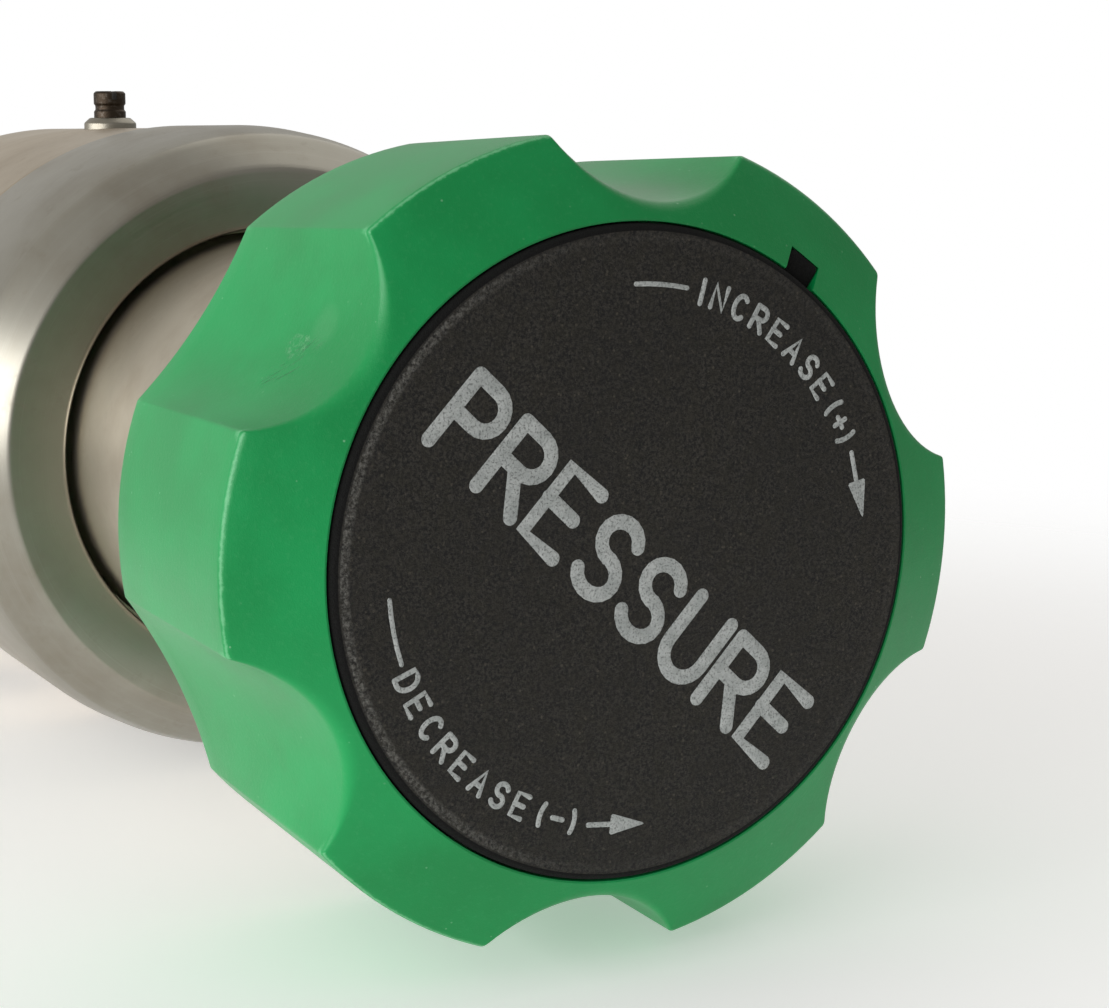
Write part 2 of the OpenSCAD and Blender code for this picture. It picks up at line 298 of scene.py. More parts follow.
def grid(rows: Sequence[Sequence[Any]]) -> list[list[int]]:
    """Faces of a sleeve whose rows close on themselves and on each other.

    Args:
        rows: Rows of points, each with the same number of points.

    Returns:
        Faces that join each row to the next, and the last row to the first.
    """
    count, width = len(rows), len(rows[0])
    faces = []
    for n in range(count):
        for s in range(width):
            t, m = (s + 1) % width, (n + 1) % count
            faces.append([n * width + s, n * width + t, m * width + t, m * width + s])
    return faces


def capped(count: int, width: int) -> list[list[int]]:
    """Faces of a rod whose rows close on themselves, with a cap at each end.

    Args:
        count: Number of rows.
        width: Number of points in each row.

    Returns:
        The faces between the rows, then the two caps.
    """
    faces = []
    for a in range(0, (count - 1) * width, width):
        b = a + width
        for s in range(width):
            t = (s + 1) % width
            faces.append([a + s, a + t, b + t, b + s])
    last = (count - 1) * width
    return [*faces, list(range(width))[::-1], [last + s for s in range(width)]]


def tube(name: str, path: Sequence[Vector], radius: float, sides: int) -> bpy.types.Object:
    """Sweep a round section along a path and close its ends.

    Args:
        name: Name of the piece.
        path: Points of the centre line.
        radius: Radius of the section.
        sides: Segments around the section.

    Returns:
        The new object.
    """
    points: list[Vector] = []
    normal = Vector((0, 0, 1))
    for n, p in enumerate(path):
        ahead = path[min(n + 1, len(path) - 1)] - path[max(n - 1, 0)]
        ahead.normalize()
        side = ahead.cross(normal)
        if side.length < 1e-4:
            side = ahead.cross(Vector((1, 0, 0)))
        side.normalize()
        lift = side.cross(ahead)
        for s in range(sides):
            a = math.tau * s / sides
            points.append(p + (side * math.cos(a) + lift * math.sin(a)) * radius)
    return solid(name, points, capped(len(path), sides), crease=60)


# ---------------------------------------------------------------- shader maths


def tone(red: int, green: int, blue: int) -> Colour:
    """Linear colour of a screen colour given from 0 to 255."""
    shares = (c / 255 for c in (red, green, blue))
    return tuple(c / 12.92 if c < 0.04045 else ((c + 0.055) / 1.055) ** 2.4 for c in shares)


class Field:
    """A value that varies over a surface: one output socket, with arithmetic."""

    def __init__(self, recipe: "Recipe", socket: bpy.types.NodeSocket) -> None:
        """Wrap an output socket of a recipe's node tree."""
        self.recipe, self.socket = recipe, socket

    def math(self, operation: str, *others: "Field | float") -> "Field":
        """Add one Math node, with this value first and the others after it."""
        values = dict(enumerate((self, *others)))
        return self.recipe.node("ShaderNodeMath", {"operation": operation}, values)

    def __add__(self, other: "Field | float") -> "Field":
        """Sum."""
        return self.math("ADD", other)

    def __sub__(self, other: "Field | float") -> "Field":
        """Difference."""
        return self.math("SUBTRACT", other)

    def __rsub__(self, other: float) -> "Field":
        """A number less this field."""
        return (self * -1) + other

    def __mul__(self, other: "Field | float") -> "Field":
        """Product."""
        return self.math("MULTIPLY", other)

    def __pow__(self, other: "Field | float") -> "Field":
        """Power."""
        return self.math("POWER", other)

    __radd__ = __add__
    __rmul__ = __mul__

    def sharp(self, low: float, high: float) -> "Field":
        """Rise smoothly from 0 at low to 1 at high.

        Args:
            low: Value where the result is 0.
            high: Value where the result is 1.

        Returns:
            The smooth step.
        """
        values = {"Value": self, "From Min": low, "From Max": high}
        return self.recipe.node(
            "ShaderNodeMapRange", {"interpolation_type": "SMOOTHSTEP"}, values
        )


class Recipe:
    """The node tree of one finish."""

    def __init__(self, name: str) -> None:
        """Start an empty material with a Principled shader."""
        self.material = bpy.data.materials.new(name)
        self.material.use_nodes = True
        self.tree = self.material.node_tree
        self.tree.nodes.clear()
        self.shader = self.tree.nodes.new("ShaderNodeBsdfPrincipled")
        output = self.tree.nodes.new("ShaderNodeOutputMaterial")
        self.tree.links.new(self.shader.outputs["BSDF"], output.inputs["Surface"])

    def node(
        self,
        kind: str,
        settings: dict[str, Any] | None = None,
        sockets: dict[str | int, Any] | None = None,
        out: str | int = 0,
    ) -> Field:
        """Add one node.

        Args:
            kind: Blender's name of the node's type.
            settings: Properties of the node, and stops for a ramp, set first.
            sockets: Values or links of its sockets, by name or place.
            out: The output that is wanted, by name or place.

        Returns:
            That output.
        """
        made = self.tree.nodes.new(kind)
        for key, value in (settings or {}).items():
            if key == "stops":
                self._fill_ramp(made, value)
            else:
                setattr(made, key, value)
        for key, value in (sockets or {}).items():
            self._feed(self._socket(made.inputs, key), value)
        return Field(self, self._socket(made.outputs, out))

    @staticmethod
    def _fill_ramp(ramp: bpy.types.Node, stops: Sequence[tuple[float, Colour]]) -> None:
        """Set the stops of a colour ramp."""
        elements = ramp.color_ramp.elements
        while len(elements) < len(stops):
            elements.new(0.5)
        for element, (place, colour) in zip(elements, stops):
            element.position, element.color = place, (*colour, 1.0)

    @staticmethod
    def _socket(group: Any, key: str | int) -> bpy.types.NodeSocket:
        """Find a socket by name or place among those in use."""
        if isinstance(key, int):
            return group[key]
        return next(s for s in group if s.name == key and s.enabled)

    def _feed(self, socket: bpy.types.NodeSocket, value: Any) -> None:
        """Link a field to a socket, or set its value."""
        if isinstance(value, Field):
            self.tree.links.new(value.socket, socket)
        elif socket.type == "RGBA":
            socket.default_value = (*value, 1.0)
        else:
            socket.default_value = value

    def place(self) -> Field:
        """Where a point lies at rest, in millimetres."""
        values = {0: self.node("ShaderNodeTexCoord", out="Object"), "Scale": 1 / MM}
        return self.node("ShaderNodeVectorMath", {"operation": "SCALE"}, values)

    def parts(self) -> tuple[Field, Field, Field]:
        """Right, forward and up of a point at rest, in millimetres, in the maker's frame.

        Returns:
            The three values.
        """
        source = self.place()
        x, y, z = (self.node("ShaderNodeSeparateXYZ", {}, {0: source}, n) for n in range(3))
        return x, y * -1, z

    def noise(
        self, scale: float, detail: float = 3, rough: float = 0.55, at: Field | None = None
    ) -> Field:
        """Cloudy noise from 0 to 1, with so many lumps per millimetre."""
        values = {"Scale": scale, "Detail": detail, "Roughness": rough}
        return self.node("ShaderNodeTexNoise", {}, {"Vector": at or self.place(), **values})

    def cells(self, scale: float) -> Field:
        """Distance to the nearest of scattered points, so many per millimetre."""
        values = {"Vector": self.place(), "Scale": scale}
        return self.node("ShaderNodeTexVoronoi", {}, values, "Distance")

    def attribute(self, name: str) -> Field:
        """A value stored on the points of the mesh."""
        return self.node("ShaderNodeAttribute", {"attribute_name": name}, out="Fac")

    def blend(self, share: Field | float, first: Field | Colour, second: Field | Colour) -> Field:
        """Mix two colours, by the share of the second."""
        values = {"Factor": share, "A": first, "B": second}
        return self.node("ShaderNodeMix", {"data_type": "RGBA"}, values, "Result")

    def vector(self, x: Field | float, y: Field | float, z: Field | float) -> Field:
        """Join three values."""
        return self.node("ShaderNodeCombineXYZ", {}, {0: x, 1: y, 2: z})

    def relief(self, height: Field, depth: float) -> Field:
        """Turn a height of about 0 to 1 into a tilt, with the depth in millimetres."""
        return self.node("ShaderNodeBump", {}, {"Distance": depth * MM, "Height": height})

    def surface(
        self, colour: Field, rough: Field, normal: Field | None = None, **fixed: Any
    ) -> None:
        """Feed the shader.

        Args:
            colour: Base colour.
            rough: Roughness.
            normal: Normal, or None for the plain one.
            fixed: Other inputs that are the same all over, with _ for spaces.
        """
        links = {"Base Color": colour, "Roughness": rough}
        if normal is not None:
            links["Normal"] = normal
        for key, value in {**links, **fixed}.items():
            self._feed(self.shader.inputs[key.replace("_", " ")], value)


# ---------------------------------------------------------------- finishes


@dataclass(frozen=True)
class Finish:
    """A finish that is made once and then shared."""

    name: str

    def material(self) -> bpy.types.Material:
        """The finish's material, made when it is first asked for."""
        found = bpy.data.materials.get(self.name)
        if found is None:
            recipe = Recipe(self.name)
            self.lay(recipe)
            found = recipe.material
        return found

    def lay(self, recipe: Recipe) -> None:
        """Build the nodes of this finish."""
        raise NotImplementedError


@dataclass(frozen=True)
class SatinNylon(Finish):
    """Moulded green nylon with a faint bloom, pale worn edges that are also painted brighter as
    edge highlights, and one small scuff.
    """

    body: Colour = tone(8, 157, 83)
    deep: Colour = tone(4, 141, 71)
    # Pale green of edge wear, also used to paint highlights on the edges.
    wear_and_highlight: Colour = tone(120, 200, 146)
    scuff_at: tuple[float, float, float] = (-18.3, 108.4, 13.0)
    scuff_radius: float = 0.75

    def lay(self, recipe: Recipe) -> None:
        """Build the nodes of this finish."""
        cloud = recipe.noise(0.09, 4, 0.6)
        grain = recipe.noise(3.2, 4, 0.7)
        fine = recipe.noise(11.0, 2, 0.5)
        colour = recipe.blend(cloud.sharp(0.3, 0.72), self.deep, self.body)
        colour = recipe.blend(grain.sharp(0.5, 0.8) * 0.08, colour, self.wear_and_highlight)
        speck = 1 - recipe.cells(1.1).sharp(0.05, 0.10)
        speck = speck * recipe.noise(0.35).sharp(0.5, 0.62) * 0.5
        colour = recipe.blend(speck, colour, tone(150, 205, 165))
        # Pale edge wear, also turned up to paint the thin highlights along the lobes' front edges.
        edge = recipe.attribute("edge")
        ragged_wear_and_highlight = (edge + (recipe.noise(1.9, 5, 0.75) - 0.5) * 0.9).sharp(0.68, 1.0)
        colour = recipe.blend(ragged_wear_and_highlight * 0.62, colour, self.wear_and_highlight)
        mark, streaks = self._scuff(recipe)
        colour = recipe.blend(mark * 0.38, colour, tone(140, 200, 154))
        colour = recipe.blend(streaks * 0.45, colour, tone(6, 104, 56))
        rough = 0.30 + cloud * 0.10 + ragged_wear_and_highlight * 0.1 + mark * 0.2 + (fine - 0.5) * 0.08
        lift = grain * 0.5 + fine * 0.35 - mark * 0.8 - streaks * 1.2
        recipe.surface(colour, rough, recipe.relief(lift, 0.03), Specular_IOR_Level=0.40)

    def _scuff(self, recipe: Recipe) -> tuple[Field, Field]:
        """Masks of a ring-shaped scratch and of the fine streaks beside it.

        Args:
            recipe: The recipe to build in.

        Returns:
            The pale scratch and the darker streaks, each from 0 to 1.
        """
        x, forward, up = recipe.parts()
        cx, cz, cy = self.scuff_at
        lean = math.atan2(cy, cx)
        dx, dz, dy = x - cx, forward - cz, up - cy
        round_way = dx * -math.sin(lean) + dy * math.cos(lean)
        depth = dx * math.cos(lean) + dy * math.sin(lean)
        here = 1 - depth.math("ABSOLUTE").sharp(2.0, 3.0)
        away = (dz * dz * 0.5 + round_way * round_way) ** 0.5
        wobble = recipe.noise(1.3, 3) * 0.9
        ring = 1 - (away + wobble - self.scuff_radius - 0.45).math("ABSOLUTE").sharp(0.05, 0.22)
        inside = 1 - (away + wobble).sharp(1.0, 1.3)
        inside = inside * recipe.noise(4.0, 3).sharp(0.45, 0.65) * 0.5
        broken = recipe.noise(2.6, 4, 0.75).sharp(0.46, 0.62)
        across, along = dz * 0.77 + round_way * 0.64, round_way * 0.77 - dz * 0.64
        drawn = recipe.vector(across * 4.0, along * 0.35, 0.0)
        lines = recipe.noise(1.0, 4, 0.6, drawn).sharp(0.54, 0.66)
        near = 1 - ((across - 1.4) ** 2 + (along - 0.8) ** 2 * 0.2).sharp(0.4, 2.6)
        haze = (1 - ((dz - 2.0) ** 2 + (round_way + 1.6) ** 2).sharp(0.0, 3.0)) * 0.25
        pale = (ring * broken).math("MAXIMUM", inside) + haze
        return pale * here, lines * near * here


@dataclass(frozen=True)
class GrainedCover(Finish):
    """Dark moulded cover with a fine spark-eroded grain and pale dust in it, a pale worn rim with a
    painted highlight on its left side, and painted shade in the groove at its edge.
    """

    body: Colour = tone(27, 26, 25)
    dust: Colour = tone(104, 98, 86)
    radius: float = 19.7

    def lay(self, recipe: Recipe) -> None:
        """Build the nodes of this finish."""
        x, forward, up = recipe.parts()
        away = (x * x + up * up) ** 0.5
        grain = recipe.noise(4.6, 3, 0.8)
        fine = recipe.noise(9.0, 2, 0.6)
        cloud = recipe.noise(0.12, 4, 0.6)
        tint = recipe.noise(0.9, 3, 0.6)
        colour = recipe.blend(grain.sharp(0.36, 0.66), tone(5, 5, 6), tone(60, 57, 52))
        colour = recipe.blend(tint.sharp(0.42, 0.62) * 0.4, colour, tone(40, 37, 28))
        colour = recipe.blend(cloud.sharp(0.3, 0.7) * 0.3, colour, self.body)
        fleck = (1 - recipe.cells(2.6).sharp(0.12, 0.30)) * recipe.noise(1.7, 3).sharp(0.50, 0.60)
        colour = recipe.blend(fleck * 0.35, colour, self.dust)
        # Painted highlight, partly real wear: a pale granular band just inside the rounded rim,
        # made strongest on the left (side) where the key light falls.
        rim = away.sharp(self.radius - 0.75, self.radius - 0.42)
        rim = rim * (1 - away.sharp(self.radius - 0.12, self.radius))
        side = 0.12 + (x * -1).sharp(2.0, 17.0) * 0.88
        rim = rim * recipe.noise(3.4, 4, 0.8).sharp(0.40, 0.66) * side
        colour = recipe.blend(rim * 0.7, colour, tone(132, 131, 126))
        rough = 0.62 + (grain - 0.5) * 0.24 + rim * 0.1
        # Painted shade: beyond the cover's radius, in the groove against the shell and on the key
        # in the pry notch, the colour goes near black to stand for the shadow there.
        groove = away.sharp(self.radius + 0.03, self.radius + 0.09)
        colour = recipe.blend(groove, colour, tone(3, 3, 3))
        rough = rough + groove * 0.3
        lift = grain * 0.7 + fine * 0.4
        recipe.surface(colour, rough, recipe.relief(lift, 0.12), Specular_IOR_Level=0.36)


@dataclass(frozen=True)
class PrintedInk(Finish):
    """Pale printed ink that has not filled every hollow of the grain."""

    ink: Colour = tone(198, 202, 201)

    def lay(self, recipe: Recipe) -> None:
        """Build the nodes of this finish."""
        patch = recipe.noise(1.1, 4, 0.65)
        holes = recipe.noise(6.5, 3, 0.75).sharp(0.52, 0.66)
        colour = recipe.blend(patch.sharp(0.3, 0.7), tone(172, 177, 176), self.ink)
        colour = recipe.blend(holes * 0.75, colour, tone(112, 116, 115))
        pits = recipe.noise(3.0, 4, 0.7).sharp(0.63, 0.70)
        colour = recipe.blend(pits * 0.8, colour, tone(56, 56, 55))
        grain = recipe.noise(4.2, 4, 0.75)
        recipe.surface(colour, 0.5 + grain * 0.2, recipe.relief(grain + holes * -0.6, 0.05))


class Grain(Enum):
    """Which way the tool marks of a steel piece run."""

    AROUND = "around"
    EVEN = "even"


@dataclass(frozen=True)
class Steel(Finish):
    """Stainless steel with tool marks, faint stains and a satin sheen."""

    body: Colour = tone(197, 185, 167)
    stain: Colour = tone(160, 144, 122)
    rough: float = 0.40
    grain: Grain = Grain.AROUND
    marks: float = 0.010
    brushed: float = 0.35

    def lay(self, recipe: Recipe) -> None:
        """Build the nodes of this finish."""
        x, forward, up = recipe.parts()
        away = (x * x + up * up) ** 0.5
        if self.grain is Grain.EVEN:
            lines = recipe.noise(2.2, 4, 0.65)
            second = recipe.noise(7.0, 3, 0.6)
        else:
            drift = recipe.noise(0.15, 2) * 0.25
            wide = recipe.vector(away * 5.5 + drift, forward * 5.5 + drift, 0.0)
            lines = recipe.noise(1.0, 3, 0.7, wide)
            narrow = recipe.vector(away * 17.0, forward * 17.0, x * 0.05)
            second = recipe.noise(1.0, 2, 0.6, narrow)
        cloud = recipe.noise(0.07, 5, 0.62)
        smear = recipe.noise(0.5, 5, 0.7)
        colour = recipe.blend(cloud.sharp(0.36, 0.76) * 0.55, self.body, self.stain)
        smear = smear.sharp(0.55, 0.8)
        colour = recipe.blend(smear * 0.25, colour, self.stain)
        colour = recipe.blend(lines.sharp(0.5, 0.75) * 0.12, colour, tone(214, 210, 202))
        rough = self.rough + (cloud - 0.5) * 0.16 + (second - 0.5) * 0.16 + smear * 0.08
        height = recipe.relief(lines * 0.6 + second * 0.4, self.marks)
        brushed = self.brushed if self.grain is Grain.AROUND else 0.0
        recipe.surface(colour, rough, height, Metallic=1.0, Anisotropic=brushed)


@dataclass(frozen=True)
class SpringWire(Steel):
    """Drawn spring wire with a dull skin."""

    body: Colour = tone(140, 136, 130)
    stain: Colour = tone(92, 84, 74)
    rough: float = 0.38
    grain: Grain = Grain.EVEN


@dataclass(frozen=True)
class TurnedBrass(Steel):
    """Turned brass that has dulled in its grooves."""

    body: Colour = tone(202, 168, 96)
    stain: Colour = tone(142, 110, 58)
    rough: float = 0.28


@dataclass(frozen=True)
class DarkenedSteel(Steel):
    """Steel with a thin brown-black oxide."""

    body: Colour = tone(74, 64, 54)
    stain: Colour = tone(46, 39, 33)
    rough: float = 0.42
    grain: Grain = Grain.EVEN
    marks: float = 0.02


@dataclass(frozen=True)
class PressedPolymer(Finish):
    """Machined polymer with a cloudy body and fine tool marks."""

    body: Colour = tone(232, 230, 222)
    shade: Colour = tone(206, 202, 190)
    rough: float = 0.45

    def lay(self, recipe: Recipe) -> None:
        """Build the nodes of this finish."""
        x, forward, up = recipe.parts()
        away = (x * x + up * up) ** 0.5
        lines = recipe.noise(1.0, 3, 0.6, recipe.vector(away * 7.0, forward * 7.0, 0.0))
        cloud = recipe.noise(0.3, 4, 0.6)
        colour = recipe.blend(cloud.sharp(0.35, 0.7), self.body, self.shade)
        colour = recipe.blend(lines.sharp(0.55, 0.8) * 0.25, colour, self.shade)
        rough = self.rough + (cloud - 0.5) * 0.16
        recipe.surface(colour, rough, recipe.relief(lines, 0.015))


@dataclass(frozen=True)
class SealRubber(PressedPolymer):
    """Moulded black rubber."""

    body: Colour = tone(34, 34, 35)
    shade: Colour = tone(24, 24, 25)
    rough: float = 0.6


@dataclass(frozen=True)
class SinteredDisc(Finish):
    """Sintered bronze-grey powder: packed grains with dark gaps."""

    body: Colour = tone(150, 144, 134)

    def lay(self, recipe: Recipe) -> None:
        """Build the nodes of this finish."""
        beads = recipe.cells(5.0)
        gaps = beads.sharp(0.45, 0.75)
        colour = recipe.blend(gaps * 0.85, self.body, tone(48, 44, 40))
        patch = recipe.noise(1.2).sharp(0.5, 0.75) * 0.4
        colour = recipe.blend(patch, colour, tone(120, 112, 98))
        recipe.surface(colour, 0.42 + gaps * 0.3, recipe.relief(1 - beads, 0.12), Metallic=0.85)


GREEN = SatinNylon("green_nylon_look")
COVER = GrainedCover("grained_cover_look")
INK = PrintedInk("printed_ink_look")
BODY_STEEL = Steel("body_steel_look")
RING_STEEL = Steel("ring_steel_look", tone(164, 161, 151), tone(129, 119, 102), 0.36)
NECK_STEEL = Steel("neck_steel_look", tone(216, 208, 192), rough=0.33)
FINE_STEEL = Steel("machined_steel_look", tone(190, 186, 178), rough=0.24, marks=0.006)
SHEET_STEEL = Steel(
    "rolled_sheet_look", tone(186, 184, 178), rough=0.2, grain=Grain.EVEN, marks=0.004
)
BALL_STEEL = Steel(
    "ball_steel_look", tone(200, 198, 194), rough=0.12, grain=Grain.EVEN, marks=0.002
)
WIRE = SpringWire("spring_wire_look")
BRASS = TurnedBrass("turned_brass_look")
DARK_STEEL = DarkenedSteel("darkened_steel_look")
WHITE_POLYMER = PressedPolymer("white_polymer_look")
TAN_POLYMER = PressedPolymer("tan_polymer_look", tone(196, 164, 116), tone(172, 138, 92))
RUBBER = SealRubber("seal_rubber_look")
SINTERED = SinteredDisc("sintered_disc_look")


# ---------------------------------------------------------------- sub-assemblies


class SubAssembly:
    """Pieces that are made, dressed and put on their bodies together."""

    def add(
        self,
        piece: bpy.types.Object,
        body: str,
        finish: Finish,
        slot: str | None = None,
        stands_for: Iterable[str] = (),
    ) -> bpy.types.Object:
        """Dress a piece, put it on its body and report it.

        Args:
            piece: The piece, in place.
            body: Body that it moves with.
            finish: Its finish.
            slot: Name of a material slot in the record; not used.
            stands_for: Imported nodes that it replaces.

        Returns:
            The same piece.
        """
        piece.data.materials.clear()
        piece.data.materials.append(finish.material())
        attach(piece, body)
        names = list(stands_for)
        if names:
            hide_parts(*names)
        log.info("%s: %d faces on %s", piece.name, len(piece.data.polygons), body)
        return piece

    def make(self) -> None:
        """Build every piece of this sub-assembly."""
        raise NotImplementedError


@dataclass
class Outline:
    """One closed outline of the lobed knob: six scallops between six lobes."""

    radius: float
    depth: float
    first: float = 24.6
    half: float = 15.3
    pitch: float = 60.0
    fillet: float = 0.35
    in_scallop: int = 12
    in_fillet: int = 5
    in_lobe: int = 7

    def half_pitch(self) -> list[tuple[float, float, float]]:
        """Points from the middle of a scallop to the middle of a lobe.

        Returns:
            Distance along the scallop's own axis, distance across it, and how near the
            point is to the corner between scallop and lobe.
        """
        chord = self.radius * math.sin(math.radians(self.half))
        hollow = (chord**2 + self.depth**2) / (2 * self.depth)
        middle = self.radius * math.cos(math.radians(self.half)) - self.depth + hollow
        reach, away = self.radius - self.fillet, hollow + self.fillet
        lean = math.acos((reach**2 + middle**2 - away**2) / (2 * reach * middle))
        cx, cy = reach * math.cos(lean), reach * math.sin(lean)
        swing = math.atan2(cy, middle - cx)
        out = []
        for n in range(self.in_scallop):
            a = swing * n / self.in_scallop
            near = max(0.0, 1 - (self.in_scallop - n) / 2.5)
            out.append((middle - hollow * math.cos(a), hollow * math.sin(a), near))
        for n in range(self.in_fillet):
            a = -swing + (lean + swing) * n / self.in_fillet
            out.append((cx + self.fillet * math.cos(a), cy + self.fillet * math.sin(a), 1.0))
        last = math.radians(self.pitch / 2)
        for n in range(self.in_lobe):
            a = lean + (last - lean) * n / self.in_lobe
            near = max(0.0, 1 - n / 2.0)
            out.append((self.radius * math.cos(a), self.radius * math.sin(a), near))
        return out

    def points(self) -> list[tuple[Vector, float, float]]:
        """All points around the knob.

        Returns:
            The place across the main axis, the direction from the middle of the nearest
            scallop in degrees, and how near the point is to a corner.
        """
        half = self.half_pitch()
        tip = math.radians(self.pitch / 2)
        crown = (self.radius * math.cos(tip), self.radius * math.sin(tip), 0.0)
        side = [*half, crown]
        whole = [(x, -y, near) for x, y, near in side[:0:-1]] + half
        out = []
        for lobe in range(6):
            turn = Matrix.Rotation(math.radians(self.first + lobe * self.pitch), 2)
            for x, y, near in whole:
                out.append((turn @ Vector((x, y)), math.degrees(math.atan2(y, x)), near))
        return out


@dataclass
class HandKnob(SubAssembly):
    """The lobed knob with its snapped-in cover, its insert, screw and washer."""

    front_radius: float = 25.83
    back_radius: float = 25.19
    opening: float = 20.3
    fall: float = 2.63
    front_depth: float = 3.2
    back_depth: float = 0.6
    hollow: float = 18.4
    pocket: float = 16.0
    groove: float = 16.3
    web: tuple[float, float] = (109.0, 112.6)
    ledge: float = 115.3
    insert_radius: float = 7.5
    hex_radius: float = 3.35
    notch_angle: float = 54.5
    notch_width: float = 2.5
    notch_reach: float = 21.9
    back_round: float = 0.5
    snap: tuple[float, float, float, float] = (114.2, 114.0, 113.4, 113.2)
    flange_drop: float = 0.7
    shank: float = 2.05
    screw_head: float = 1.9
    socket: float = 1.7
    body: str = "hand_knob"
    span: Span = field(default_factory=lambda: Span.of("knob"))
    cover: Span = field(default_factory=lambda: Span.of("knob_cover"))

    def face_height(self, radius: float) -> float:
        """Height of the sloping front face at one radius."""
        slope = self.fall / (self.front_radius - self.opening)
        return self.span.front - (radius - self.opening) * slope

    def outline_at(self, z: float) -> list[tuple[Vector, float, float]]:
        """Outline of the side at one height.

        Args:
            z: Distance from the rear face of the valve.

        Returns:
            The outline's points.
        """
        foot = self.span.back
        share = (z - foot) / (self.face_height(self.front_radius) - foot)
        radius = self.back_radius + (self.front_radius - self.back_radius) * share
        depth = self.back_depth + (self.front_depth - self.back_depth) * share
        return Outline(radius, depth).points()

    def corner(self) -> list[tuple[Vector, float, float, float]]:
        """Where the side would meet the front face without a blend.

        Returns:
            For each point around: place, height, direction and nearness to a corner.
        """
        heights = [self.span.front - self.fall] * len(self.outline_at(self.span.front))
        levels = {}
        for _ in range(4):
            out = []
            for n, z in enumerate(heights):
                key = round(z, 2)
                if key not in levels:
                    levels[key] = self.outline_at(key)
                place, angle, near = levels[key][n]
                out.append((place, z, angle, near))
                heights[n] = self.face_height(place.length)
        return out

    def shell_rows(self) -> tuple[list[list[Vector]], list[list[float]]]:
        """Rows of points from the outer back edge over the front and through the inside.

        Returns:
            The rows, and how worn each point is; the same weights also set the painted edge
            highlight.
        """
        back, corner = self.span.back, self.corner()
        rows: list[list[Vector]] = []
        edge_wear_and_highlight: list[list[float]] = []

        def lay(points: list[Vector], wear_and_highlight: list[float]) -> None:
            """Add one row."""
            rows.append(points)
            edge_wear_and_highlight.append(wear_and_highlight)

        foot = self.outline_at(back)
        for k in range(5):
            t = k / 4
            shrink = self.back_round * (1 - t) ** 2
            z = back + self.back_round * t * t
            lay(
                [Vector((*(p * (1 - shrink / p.length)), z)) for p, _, _ in foot],
                [0.5 * t + 0.3 * near * t for _, _, near in foot],
            )
        setback = []
        for _, _, a, _ in corner:
            lean = math.radians(min(90.0, abs(a) * 90 / Outline.half))
            setback.append(0.38 + 0.42 * max(0.0, math.cos(lean)) ** 0.7)
        low = back + self.back_round
        outlines = {}
        steps = 14
        for k in range(1, steps + 1):
            points, wear_and_highlight = [], []
            for n, (_, top, _, near) in enumerate(corner):
                z = low + (top - setback[n] - low) * k / steps
                key = round(z, 1)
                if key not in outlines:
                    outlines[key] = (self.outline_at(key), self.outline_at(key + 0.1))
                share = (z - key) / 0.1
                first, second = outlines[key][0][n][0], outlines[key][1][n][0]
                points.append(Vector((*first.lerp(second, share), z)))
                wear_and_highlight.append(near * 0.55 + (0.35 if k == steps else 0.0))
            lay(points, wear_and_highlight)
        start, inner = rows[-1], []
        for n, (place, _, _, _) in enumerate(corner):
            p = place * (1 - setback[n] / place.length)
            inner.append(Vector((*p, self.face_height(p.length))))
        for k in range(1, 7):
            t = k / 6
            points = []
            for n, (place, top, _, _) in enumerate(corner):
                tip = Vector((*place, top))
                points.append(start[n] * (1 - t) ** 2 + tip * 2 * t * (1 - t) + inner[n] * t * t)
            # Edge weights peak on the rounded front edge; they set both pale wear and painted edge
            # highlight, full on the lobes and weaker on the scallops.
            most = 1 - abs(2 * t - 1) * 0.6
            lay(points, [most * (1.0 if abs(a) > Outline.half else 0.3) for _, _, a, _ in corner])
        rim, lip = self.opening + 0.16, 0.16
        for k in range(1, 6):
            t = k / 5
            points = []
            for p in inner:
                flat = Vector((p.x, p.y))
                r = flat.length * (1 - t) + rim * t
                points.append(Vector((*(flat.normalized() * r), self.face_height(r))))
            lay(points, [0.12 if k < 5 else 0.3 for _ in corner])
        crest, (low, high), snap = self.face_height(rim), self.web, self.snap
        inside = [
            (self.opening + 0.04, crest - 0.03, 0.5), (self.opening, crest - lip, 0.3),
            (self.opening, self.ledge, 0.0), (self.pocket, self.ledge, 0.0),
            (self.pocket, snap[0], 0.0), (self.groove, snap[1], 0.0),
            (self.groove, snap[2], 0.0), (self.pocket, snap[3], 0.0),
            (self.pocket, high, 0.0), (self.insert_radius, high, 0.0),
            (self.insert_radius, low, 0.0), (self.hollow, low, 0.0),
            (self.hollow, back + 0.4, 0.0), (self.hollow + 0.3, back, 0.0),
        ]
        for r, z, wear_and_highlight in inside:
            lay([Vector((*(p.normalized() * r), z)) for p, _, _ in foot], [wear_and_highlight] * len(foot))
        return rows, edge_wear_and_highlight

    def shell(self) -> bpy.types.Object:
        """The lobed shell with its blended front edge and its pry notch.

        Returns:
            The new object.
        """
        rows, edge_wear_and_highlight = self.shell_rows()
        points = [p for row in rows for p in row]
        shell = solid("knob_shell", points, grid(rows), crease=38)
        # The edge attribute carries pale wear together with painted edge highlight.
        shade = shell.data.attributes.new("edge", "FLOAT", "POINT")
        wear_and_highlight = [w for row in edge_wear_and_highlight for w in row]
        if len(wear_and_highlight) == len(shell.data.vertices):
            shade.data.foreach_set("value", wear_and_highlight)
        half = self.notch_width / 2
        slot = band(self.opening - 1, self.notch_reach, -half, half)
        turn = Matrix.Rotation(math.radians(self.notch_angle), 4, "Z")
        return cut(shell, prism(slot, self.ledge, self.span.front + 1, turn), crease=38)

